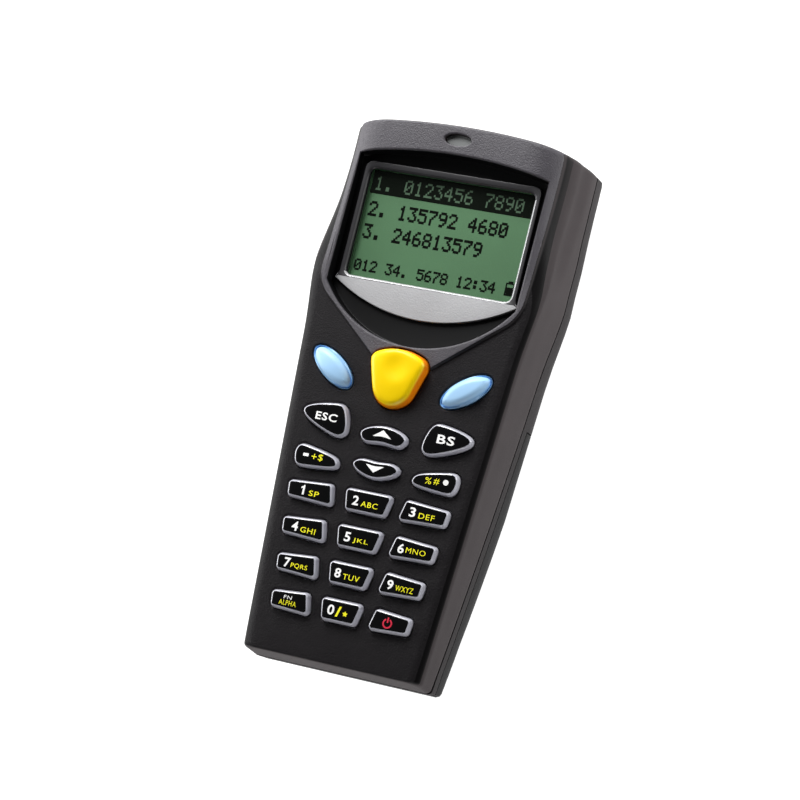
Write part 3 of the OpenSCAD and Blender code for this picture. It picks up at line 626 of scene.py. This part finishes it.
# A darker copy of the charcoal, as painted shade in the display recess and the parting gap.
painted_shade_black = finish_of("painted_shade_black", rgb(12, 12, 13), 0.35, grain=0.6, depth=0.002, cloud=0.05, gloss_change=0.02,
                         sockets={"Specular IOR Level": 0.15})
middle = face_points[face_tri].mean(axis=1)
on_frame = depth_in(middle[:, :2], frame_loop) > 0.2
on_wall = ~on_frame & (shoulder_share(middle) > WALL_FROM)
beside_frame = ~on_frame & ~on_wall & (shoulder_share(middle) > PAINTED_SHADE_FROM)
TAIL_LEAN, LEAN_SPAN, LEAN_LOW = 1.1, 7.0, 21.7
# The shoulder's outer band: a darker copy of the charcoal as painted shade, grey where it turns upright as painted
# light.
shoulder_painted_shade = finish_of("shoulder_painted_shade", rgb(11, 10, 11), 0.45, grain=0.4, depth=0.02, cloud=0.05,
                           sockets={"Specular IOR Level": 0.1}, upright_painted_shading=rgb(66, 61, 62))


def leaned(grid):
    """The grid with the tail wall leaning in by 1.1 mm at its top, which fades out over 7 mm towards the keys."""
    p = np.array(grid[0], float)
    up = np.clip((p[:, 2] - LEAN_LOW) / (THICK - LEAN_LOW), 0, 1)
    p[:, 1] += TAIL_LEAN * up * np.clip(1 - (p[:, 1] - TAIL_V) / LEAN_SPAN, 0, 1) ** 2
    return (p, *grid[1:])


# Zones: the face; the frame with painted sheen; walls in painted light; recess and shoulder band in painted shade.
front = [(face_points, face_tri[~on_frame & ~beside_frame & ~on_wall]), (face_points, face_tri[on_frame], FRAME),
         (face_points, face_tri[on_wall], WALLS), (face_points, face_tri[beside_frame], SHOULDER),
         (hole_wall, hole_quads), (*rim_skin, WALLS), (*wall_skin, WALLS), inner_skin, inner_face,
         (*pan_in, RECESS), (*pan_floor, RECESS), pan_under, pan_out, (*pan_hole, RECESS)]
piece("front_shell_moulding", [leaned(grid) for grid in front],
      [face_black, frame_grain_painted_sheen, wall_painted_light, painted_shade_black, shoulder_painted_shade], "housing", ["front_shell"])

# The shells meet at a shadow gap of 0.35 mm. A strip shaped as the rear shell's tongue stands in it, 0.3 mm behind the
# walls, coloured black as painted shade.
base_z = parting(outline(0, across=40)[1]) + SEAM
tongue = [(0.03, base_z + 0.02), (0.32, base_z + 0.05), (0.32, seam_z - 0.02), (WALL - 0.2, seam_z - 0.02),
          (WALL - 0.2, base_z + 0.02), (0.03, base_z + 0.02)]
piece("seam_tongue_painted_shade", [between([wall_row(inset, z) for inset, z in tongue])], [painted_shade_black], "housing")


# ---- Display -----------------------------------------------------------------------------------
# A green reflective dot-matrix panel under a clear window. A silver painted bezel plate is bonded into
# the recess round it: dark beside the window, with a fine silver bevel along its edge whose top and left sides are
# painted dark as shade, and a silver crescent below.
bezel_silver = finish_of("bezel_silver", rgb(196, 196, 198), 0.4, grain=0.35, depth=0.05, cloud=0.05,
                         sockets={"Metallic": 0.4})
# Dark paint beside the window, and painted shade on the top and left sides of the bevel.
bezel_dark_and_painted_shade = finish_of("bezel_dark_and_painted_shade", rgb(48, 47, 50), 0.4, grain=0.22, depth=0.012, cloud=0.05)
turn = np.radians(np.linspace(0, 90, 12))
corner = np.column_stack([WIN_W / 2 - 0.7 + 1.6 * np.cos(turn), WIN_V + WIN_H - 0.7 + 1.6 * np.sin(turn)])
bezel_loop = np.vstack([arch(21.9, 83.9, -6.5, 40), [[WIN_W / 2 + 0.9, WIN_V + 0.6]], corner, corner[::-1] * [-1, 1],
                        [[-WIN_W / 2 - 0.9, WIN_V + 0.6]]])
lip_loop = rounded(window_corners * [0.985, 1] + [[0, 0], [0, 0], [0, -0.65], [0, -0.65]], 1.4)
BEZEL_LOW, BEZEL_HIGH, BEVEL, EDGE_R = RECESS_Z, RECESS_Z + 0.8, 0.38, 0.2
ring = lambda loop, g, z: np.column_stack([spread(grown(loop, g), 160), np.full(160, z)])
turns = np.array([0, 0.3, 0.6, 0.85, 1]) * np.pi / 2
outer = [ring(bezel_loop, 0, BEZEL_LOW)]
outer += [ring(bezel_loop, EDGE_R * (math.cos(t) - 1), BEZEL_HIGH + EDGE_R * (math.sin(t) - 1)) for t in turns]
inner = [ring(lip_loop, BEVEL + 0.04, BEZEL_HIGH), ring(lip_loop, BEVEL, BEZEL_HIGH - 0.02),
         ring(lip_loop, 0.02, BEZEL_HIGH - BEVEL)]
inner += [ring(lip_loop, 0, BEZEL_HIGH - BEVEL - 0.04), ring(lip_loop, 0, BEZEL_LOW)]


def between_loops(a, b, z):
    """The flat face at height z inside the ring a and outside the ring b, with a strip across where its two
    colours meet."""
    a, b = a[:, :2], b[:, :2]
    return infill([a, b, np.array([[-21, WIN_V - 0.6], [21, WIN_V - 0.6], [21, WIN_V - 0.5], [-21, WIN_V - 0.5]])],
                  lambda p: within(p, a) & ~within(p, b), flat(z))


top, tri = between_loops(outer[-1], inner[0], BEZEL_HIGH)
beside = top[tri].mean(axis=1)[:, 1] > WIN_V - 0.55


def parted(grid, dark):
    """A grid as two: its silver faces and the dark ones, where dark(x, v) of a face's middle is true."""
    points, faces = np.asarray(grid[0]), np.asarray(grid[1])
    mask = dark(*points[faces].mean(axis=1)[:, :2].T)
    return [(points, faces[~mask]), (points, faces[mask], 1)]


# The bevel round the window is dark on its top and left sides: painted shade.
piece("bezel_plate", parted(between(outer), lambda x, v: v > WIN_V - 0.5)
      + parted(between(inner), lambda x, v: (v > 108.2) | (x < -19.75))
      + [(top, tri[~beside]), (top, tri[beside], 1), between_loops(outer[0], inner[-1], BEZEL_LOW)],
      [bezel_silver, bezel_dark_and_painted_shade], "housing", ["display_bezel"])

clear_cover = finish_of("clear_cover", (0.05, 0.06, 0.05, 1), 0.05, grain=0.9, depth=0.0002, cloud=0.03,
                        gloss_change=0.015, sockets={"Alpha": 0.05})
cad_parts["display_window"].material_slots[0].material = clear_cover

LCD_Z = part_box("lcd_module")[1].z * 1000 - 0.2
lcd_green = finish_of("lcd_green", rgb(72, 118, 77), 0.55, grain=0.6, depth=0.002, cloud=0.04)
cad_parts["lcd_module"].material_slots[0].material = lcd_green

# Dots of the panel: digits of 5 by 7, each column a number whose lowest bit is the top dot
DIGITS = {"0": (62, 81, 73, 69, 62), "1": (0, 66, 127, 64, 0), "2": (66, 97, 81, 73, 70), "3": (33, 65, 69, 75, 49),
          "4": (24, 20, 18, 127, 16), "5": (39, 69, 69, 69, 57), "6": (60, 74, 73, 73, 48), "7": (1, 113, 9, 5, 3),
          "8": (54, 73, 73, 73, 54), "9": (6, 73, 73, 41, 30), ".": (0, 96, 96, 0, 0), ":": (0, 54, 54, 0, 0),
          " ": (0, 0, 0, 0, 0)}
MENU, STATUS = (2.42, 0.39, 0.47), (1.9, 0.32, 0.36)  # pitch of the figures, and of their dots across and along


def dots(text, x, v, pitch, dx, dv):
    """The lit dots of a line as middles and half sizes: x steps by dx per column and `pitch` per figure."""
    lit = [(x + i * pitch + c * dx, v - r * dv) for i, ch in enumerate(text) for c in range(5) for r in range(7)
           if DIGITS[ch][c] >> r & 1]
    return np.array(lit), dx / 2, dv / 2


def squares(middles, a, b, z):
    """One quad per dot, a by b half size, at height z."""
    off = np.array([[-a, -b], [a, -b], [a, b], [-a, b]])
    p = (middles[:, None] + off).reshape(-1, 2)
    return np.column_stack([p, np.full(len(p), z)]), np.arange(len(p)).reshape(-1, 4)


ink = finish_of("display_ink", rgb(5, 9, 5), 0.6, grain=0.5, depth=0.001, cloud=0.04,
                sockets={"Specular IOR Level": 0.0})
ROW_X, WORD_X = -18.5, -18.5 + 7.2
lines = [dots("2.", ROW_X, 102.25, *MENU), dots("135792 4680", WORD_X, 102.25, *MENU),
         dots("3.", ROW_X, 97, *MENU), dots("246813579", WORD_X, 97, *MENU),
         dots("012 34. 5678 12:34", ROW_X - 0.2, 88.9, *STATUS)]
grids = [squares(m, a * 1.36, b * 1.3, LCD_Z + 0.03) for m, a, b in lines]
BAR = np.array([[-19.5, 104.3], [19.3, 104.3], [19.3, 109.75], [-19.5, 109.75]])
flat_quad = lambda q, z: (np.column_stack([q, np.full(4, z)]), np.array([[0, 1, 2, 3]]))
box_quad = lambda x0, v0, x1, v1: np.array([[x0, v0], [x1, v0], [x1, v1], [x0, v1]])
grids.append(flat_quad(BAR, LCD_Z + 0.03))
for quad in (box_quad(17.3, 86.6, 19.4, 88.5), box_quad(17.3, 88.5, 17.6, 89.4), box_quad(19.1, 88.5, 19.4, 89.4),
             box_quad(17.3, 89.2, 19.4, 89.5), box_quad(17.8, 89.5, 18.9, 89.9)):
    grids.append(flat_quad(quad, LCD_Z + 0.03))
piece("display_dots", grids, [ink], "housing", turn_out=False)
light_dots = [squares(*dots(text, x, 108.2, *MENU), LCD_Z + 0.05)
              for text, x in (("1.", ROW_X), ("0123456 7890", WORD_X))]
lcd_dim = finish_of("lcd_dim", rgb(60, 92, 64), 0.55, grain=0.6, depth=0.002, cloud=0.04)
piece("display_dots_light", light_dots, [lcd_dim], "housing", turn_out=False)


# ---- Keys --------------------------------------------------------------------------------------
# Hard caps on silicone springs. The number and function keys are clear lilac-grey mouldings whose tops
# are sprayed black, with printed legends; the scan key is yellow and the two side keys are blue.
key_body = finish_of("key_lilac_grey", rgb(192, 192, 202), 0.25, grain=0.8, depth=0.002, cloud=0.03, gloss_change=0.03,
                     sockets={"Coat Weight": 0.6, "Coat Roughness": 0.12})
key_print = finish_of("key_black_top", rgb(8, 8, 9), 0.16, grain=0.8, depth=0.002, cloud=0.05, gloss_change=0.03,
                      sockets={"Coat Weight": 0.5, "Coat Roughness": 0.08})
# Orange where the walls turn upright: painted shade.
scan_yellow = finish_of("scan_yellow", rgb(255, 216, 0), 0.36, grain=0.8, depth=0.002, cloud=0.02, gloss_change=0.03,
                        sockets={"Specular IOR Level": 0.3}, upright_painted_shading=rgb(238, 128, 8))
# Deeper blue where the walls turn upright: painted shade.
side_blue = finish_of("side_blue", rgb(168, 210, 246), 0.42, grain=0.8, depth=0.002, cloud=0.02, gloss_change=0.03,
                      sockets={"Specular IOR Level": 0.35}, upright_painted_shading=rgb(134, 184, 232))
FLANGE_Z, FLANGE_T, FLANGE_W = 27.1, 0.8, 0.7
PRINT_STEP = 0.06


def dome(name, p):
    """Height of a key's top: a sphere over the middle of its plan. The scan key rises 0.09 mm per mm towards
    the head and has a thumb hollow of 0.55 mm times (1 - (r/4)^2)^2."""
    plan, _, proud, r = KEYS[name]
    plan = np.asarray(plan, float)
    c = (plan.min(axis=0) + plan.max(axis=0)) / 2
    z = THICK + proud - r + np.sqrt(np.clip(r * r - ((p - c) ** 2).sum(axis=1), 0, None))
    if name == "key_scan":
        z = z + 0.3 + 0.09 * (p[:, 1] - c[1])
        far = np.linalg.norm(p - [-0.3, 65.6], axis=1)
        z = z - 0.55 * np.clip(1 - (far / 4) ** 2, 0, None) ** 2
    return z


def key_cap(name, edge, draught=0.12, band=0.0, step=0.0):
    """Loops of a cap from the middle of its underside, round the flange, up the draughted wall, over a
    quarter-round edge of radius `edge`, over a printed field that begins `band` in and stands `step`
    higher, and in to the middle of the top. Returns the body's grid and the field's."""
    plan = KEYS[name][0]
    c = (np.min(plan, axis=0) + np.max(plan, axis=0)) / 2
    ring = lambda g, z: np.column_stack([key_loop(name, g), np.broadcast_to(z, KEY_POINTS)])
    shrunk = lambda loop, k: c + (loop - c) * k
    low = key_loop(name, FLANGE_W) if name != "key_scan" else key_loop(name, 0.05)
    rows = [np.column_stack([shrunk(low, k), np.full(KEY_POINTS, FLANGE_Z)]) for k in (0, 1)]
    rows.append(np.column_stack([low, np.full(KEY_POINTS, FLANGE_Z + FLANGE_T)]))
    rows += [ring(0, FLANGE_Z + FLANGE_T), ring(0, THICK + 0.1)]
    for t in np.radians([0, 18, 36, 54, 72, 90]):
        loop = key_loop(name, -draught - edge * (1 - math.cos(t)))
        rows.append(np.column_stack([loop, dome(name, loop) - edge * (1 - math.sin(t))]))
    if band:
        loop = key_loop(name, -band)
        rows.append(np.column_stack([loop, dome(name, loop)]))
    field = [rows[-1]]
    if band:
        for g, h in ((0.03, 0.55), (0.09, 0.85), (0.18, 1.0)):
            loop = key_loop(name, -band - g)
            field.append(np.column_stack([loop, dome(name, loop) + step * h]))
    last = field[-1][:, :2]
    for k in (0.85, 0.7, 0.55, 0.4, 0.25, 0.12, 0):
        loop = shrunk(last, k)
        field.append(np.column_stack([loop, dome(name, loop) + step]))
    return between(rows), between(field)


SLOTS = {"key_scan": "key_yellow", "key_blue_left": "key_blue", "key_blue_right": "key_blue"}
for name in KEYS:
    if name in SLOTS:
        body, field = key_cap(name, 1.2 if name == "key_scan" else 1.4, 0.3)
        paint = scan_yellow if name == "key_scan" else side_blue
        piece(name + "_cap", [body, field], [paint], name, [name], sharp=50)
    else:
        body, field = key_cap(name, 0.4, 0.28, band=0.58, step=PRINT_STEP)
        piece(name + "_cap", [body, (*field, 1)], [key_body, key_print], name, [name], sharp=50)


# ---- Legends -----------------------------------------------------------------------------------
# Printed figures, telephone letters and signs: thin outlines that follow the dome of each key top, 0.03 mm
# above the black field.
legend_white = finish_of("legend_white", rgb(252, 252, 250), 0.5, grain=0.5, depth=0.001, cloud=0.02)
legend_yellow = finish_of("legend_yellow", rgb(255, 248, 20), 0.5, grain=0.5, depth=0.001, cloud=0.02)
legend_red = finish_of("legend_red", rgb(214, 30, 62), 0.5, grain=0.5, depth=0.001, cloud=0.02)
WHITE, YELLOW, RED = 0, 1, 2


def lettering(text, x, v, wide, high, bold=0.0):
    """Bold capitals or figures that fill a box of `wide` by `high` mm about (x, v)."""
    curve = bpy.data.curves.new("lettering", "FONT")
    curve.body, curve.offset, curve.resolution_u, curve.space_character = text, bold, 3, 1.12
    holder = bpy.data.objects.new("lettering", curve)
    mesh = bpy.data.meshes.new_from_object(holder)
    p = np.array([vertex.co[:2] for vertex in mesh.vertices])
    tri = [list(face.vertices) for face in mesh.polygons]
    bpy.data.objects.remove(holder)
    bpy.data.meshes.remove(mesh)
    low, size = p.min(axis=0), np.ptp(p, axis=0)
    return ((p - low) / size - 0.5) * [wide, high] + [x, v], tri


def polygon(points):
    """A convex flat shape in three rings and a middle point, so that it can follow the dome."""
    loop = np.asarray(points, float)
    n, c = len(loop), loop.mean(axis=0)
    p = np.vstack([c + (loop - c) * k for k in (1, 0.65, 0.3)] + [c])
    quads = [[r * n + i, r * n + (i + 1) % n, (r + 1) * n + (i + 1) % n, (r + 1) * n + i]
             for r in (0, 1) for i in range(n)]
    return p, quads + [[2 * n + i, 2 * n + (i + 1) % n, 3 * n] for i in range(n)]


def ring_shape(x, v, r, width, gap):
    """A ring of outer radius r and the given width that is open by `gap` degrees to each side of its top."""
    t = np.radians(np.linspace(90 + gap, 450 - gap, 41))
    way = np.column_stack([np.cos(t), np.sin(t)])
    p = np.vstack([way * r, way * (r - width)]) + [x, v]
    return p, [[i, i + 1, i + 42, i + 41] for i in range(40)]


ONE = np.array([[-0.12, -1.05], [0.32, -1.05], [0.32, 1.05], [0, 1.05], [-0.12, 0.4]])
FLAG = np.array([[0, 1.05], [-0.12, 0.8], [-0.55, 0.6], [-0.55, 0.25], [-0.12, 0.42], [0.1, 0.6]])
circle = lambda x, v, r: polygon([[x + r * math.cos(t), v + r * math.sin(t)] for t in np.linspace(0, 6.283, 28)[:-1]])
reach = [0.62 if i % 2 else 0.36 for i in range(10)]
star = [[1.6 + r * math.cos(0.6283 * i - 1.571), 11 + r * math.sin(0.6283 * i - 1.571)] for i, r in enumerate(reach)]
LEGENDS = {
    "key_esc": [(WHITE, lettering("ESC", -13.9, 52.2, 5.1, 1.75, 0.02))],
    "key_bs": [(WHITE, lettering("BS", 14.6, 52.2, 4.1, 2.0, 0.02))],
    "key_up": [(WHITE, polygon([[-2.2, 50.1], [2.2, 50.1], [0, 51.7]]))],
    "key_down": [(WHITE, polygon([[-2.15, 43.8], [0, 42.2], [2.15, 43.8]]))],
    "key_minus": [(WHITE, polygon([[-17.1, 42.85], [-15.8, 42.85], [-15.8, 43.5], [-17.1, 43.5]])),
                  (YELLOW, lettering("+", -14.4, 43.1, 1.2, 1.2)), (YELLOW, lettering("$", -12.85, 43.05, 1.1, 1.6))],
    "key_percent": [(YELLOW, lettering("%", 12.9, 42.9, 1.5, 1.45)), (YELLOW, lettering("#", 14.8, 43, 1.25, 1.45)),
                    (WHITE, circle(16.9, 43.2, 0.62))],
    "key_fn": [(WHITE, lettering("FN", -12.3, 11.9, 1.9, 0.75)), (YELLOW, lettering("ALPHA", -12.1, 10.7, 4.1, 1.1))],
    "key_0": [(WHITE, lettering("0", -1.85, 11.35, 1.65, 2.2, 0.02)),
              (YELLOW, polygon([[-0.6, 10.1], [-0.1, 10.1], [0.55, 12.4], [0.05, 12.4]])), (YELLOW, polygon(star))],
    "key_power": [(RED, ring_shape(11.6, 11.05, 1.12, 0.36, 28)),
                  (RED, polygon([[11.42, 11.2], [11.78, 11.2], [11.78, 12.4], [11.42, 12.4]]))],
}
for key, (x, v, far, down, wide, letters) in {
        "1": (-15, 35.6, 2.7, -0.5, 2.4, "SP"), "2": (-2.4, 35.65, 3.35, -0.5, 3.9, "ABC"),
        "3": (11.1, 35.65, 3.4, -0.5, 3.65, "DEF"),
        "4": (-14.8, 27.5, 3.2, -0.5, 3.55, "GHI"), "5": (-2.2, 27.55, 3.2, -0.55, 3.55, "JKL"),
        "6": (10.5, 27.5, 3.5, -0.15, 4.55, "MNO"), "7": (-14.5, 19.4, 2.95, -0.5, 3.9, "PQRS"),
        "8": (-2.35, 19.5, 3.3, -0.55, 3.9, "TUV"), "9": (10.1, 19.4, 3.4, -0.45, 4.15, "WXYZ")}.items():
    if key == "1":
        figure = [polygon(ONE + [x, v - 0.1]), polygon(FLAG + [x, v - 0.1])]
    else:
        figure = [lettering(key, x, v - 0.1, 1.5, 2.1, 0.024)]
    bold = 0 if "M" in letters else 0.006  # an M closes up when its strokes are widened
    small = lettering(letters, x + far, v + down - 0.05, wide, 1.2, bold)
    LEGENDS["key_" + key] = [(WHITE, shape) for shape in figure] + [(YELLOW, small)]
for name, shapes in LEGENDS.items():
    inks = sorted({ink_at for ink_at, _ in shapes})
    grids = [(np.column_stack([p, dome(name, p) + PRINT_STEP + 0.03]), tri, inks.index(at))
             for at, (p, tri) in shapes]
    colours = [(legend_white, legend_yellow, legend_red)[i] for i in inks]
    piece(name + "_legend", grids, colours, name, turn_out=False)


# ---- Rest of the pieces ------------------------------------------------------------------------
# The parts that show at the edges or only with the door off keep their shapes and get their surfaces:
# moulded plastic, silicone rubber, solder mask, nickel plate, printed cell jackets and zinc-plated steel.
METAL = {"Metallic": 1.0}
surfaces = {
    ("rear_shell",): finish_of("rear_charcoal", rgb(52, 49, 50), 0.6, grain=0.3, depth=0.03, cloud=0.06,
                               sockets={"Specular IOR Level": 0.08}),
    # The door: charcoal darker than the rear shell, as painted shade along the edge it shows.
    ("battery_door",): finish_of("door_charcoal_painted_shade", rgb(22, 21, 22), 0.6, grain=0.3, depth=0.03, cloud=0.06,
                                 sockets={"Specular IOR Level": 0.15}),
    ("scan_window",): finish_of("filter_red", rgb(70, 6, 10), 0.12, grain=0.8, depth=0.001, cloud=0.04,
                                gloss_change=0.03),
    ("scan_engine", "board_parts", "buzzer"): finish_of("moulded_black", rgb(26, 26, 28), 0.5, grain=0.4, depth=0.01),
    ("keypad_mat",): finish_of("silicone_grey", rgb(84, 84, 86), 0.75, grain=0.5, depth=0.006),
    ("display_gasket",): finish_of("foam_dark", rgb(36, 36, 38), 0.9, grain=0.2, depth=0.03),
    ("indicator_lens",): finish_of("lens_frosted", rgb(124, 126, 126), 0.35, grain=0.5, depth=0.003),
    ("main_board",): finish_of("solder_mask", rgb(12, 74, 40), 0.4, grain=0.6, depth=0.004, cloud=0.18),
    ("backup_cell", "cell_springs", "cell_plates"): finish_of(
        "nickel_plate", rgb(190, 188, 182), 0.28, grain=0.3, depth=0.004, sockets=METAL),
    ("cells",): finish_of("cell_jacket", rgb(186, 128, 44), 0.32, grain=0.6, depth=0.003, cloud=0.05,
                          sockets={"Metallic": 0.4}),
    ("case_screws", "tail_screws"): finish_of("zinc_steel", rgb(120, 122, 126), 0.36, grain=0.25, depth=0.006,
                                              sockets=METAL),
}
for names, material in surfaces.items():
    for node in names:
        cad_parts[node].material_slots[0].material = material

# The rear shell and the door are shown as smooth mouldings on the same points, with their edges kept sharp
for node, body in (("rear_shell", "housing"), ("battery_door", "door")):
    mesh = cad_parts[node].data
    p = np.array([vertex.co for vertex in mesh.vertices]) * 1000 + [0, MID_V, 0]
    faces = [list(face.vertices) for face in mesh.polygons]
    piece(node + "_moulding", [(p, faces)], [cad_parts[node].material_slots[0].material], body, [node],
          sharp=28, turn_out=False)


# ---- Studio ------------------------------------------------------------------------------------
# A white table that glows evenly, one strong soft box over the head end, three weak ones from the tail and the
# two sides, and the camera.
def lamp(name, place, aim, size, power, colour=(1, 1, 1)):
    """A square soft box at `place` that faces `aim`."""
    data = bpy.data.lights.new(name, "AREA")
    data.energy, data.size, data.color = power, size, colour
    obj = bpy.data.objects.new(name, data)
    obj.location = place
    obj.rotation_euler = (Vector(aim) - Vector(place)).to_track_quat("-Z", "Y").to_euler()
    bpy.context.scene.collection.objects.link(obj)


table = bpy.data.meshes.new("table_top")
corners = [(-4, -4, -0.0002), (4, -4, -0.0002), (4, 4, -0.0002), (-4, 4, -0.0002)]
table.from_pydata(corners, [], [(0, 1, 2, 3)])
white = bpy.data.materials.new("white_table")
white.use_nodes = True
white.node_tree.nodes["Principled BSDF"].inputs["Base Color"].default_value = (0.3, 0.3, 0.3, 1)
white.node_tree.nodes["Principled BSDF"].inputs["Roughness"].default_value = 0.9
white.node_tree.nodes["Principled BSDF"].inputs["Emission Color"].default_value = (1, 1, 1, 1)
white.node_tree.nodes["Principled BSDF"].inputs["Emission Strength"].default_value = 1.0
table.materials.append(white)
floor = bpy.data.objects.new("table_top", table)
bpy.context.scene.collection.objects.link(floor)

lamp("box_head", (-0.2, 0.42, 0.3), (0, 0.03, 0.03), 0.24, 4.4)
lamp("box_tail", (0.1, -0.45, 0.09), (0, -0.04, 0.02), 0.25, 1.0)
lamp("box_left", (-0.4, 0.05, 0.14), (0, 0.02, 0.02), 0.25, 1.4)
lamp("box_right", (0.22, 0.16, 0.07), (0.02, 0.07, 0.02), 0.12, 0.42)

world = bpy.data.worlds.new("studio")
bpy.context.scene.world = world
world.use_nodes = True
n, link = world.node_tree.nodes, world.node_tree.links.new
n["Background"].inputs["Color"].default_value = (1, 1, 1, 1)
n["Background"].inputs["Strength"].default_value = 0.04

eye = bpy.data.cameras.new("camera")
eye.lens, eye.sensor_width = 137.0, 36.0
eye.clip_start, eye.clip_end = 0.01, 20
camera = bpy.data.objects.new("camera", eye)
camera.matrix_world = Matrix(((0.90970, -0.17577, 0.37622, 0.2502),
                              (0.23934, 0.96231, -0.12914, -0.08635),
                              (-0.33934, 0.20753, 0.91749, 0.6368), (0, 0, 0, 1)))
bpy.context.scene.collection.objects.link(camera)
bpy.context.scene.camera = camera
bpy.context.scene.view_settings.view_transform = "Standard"
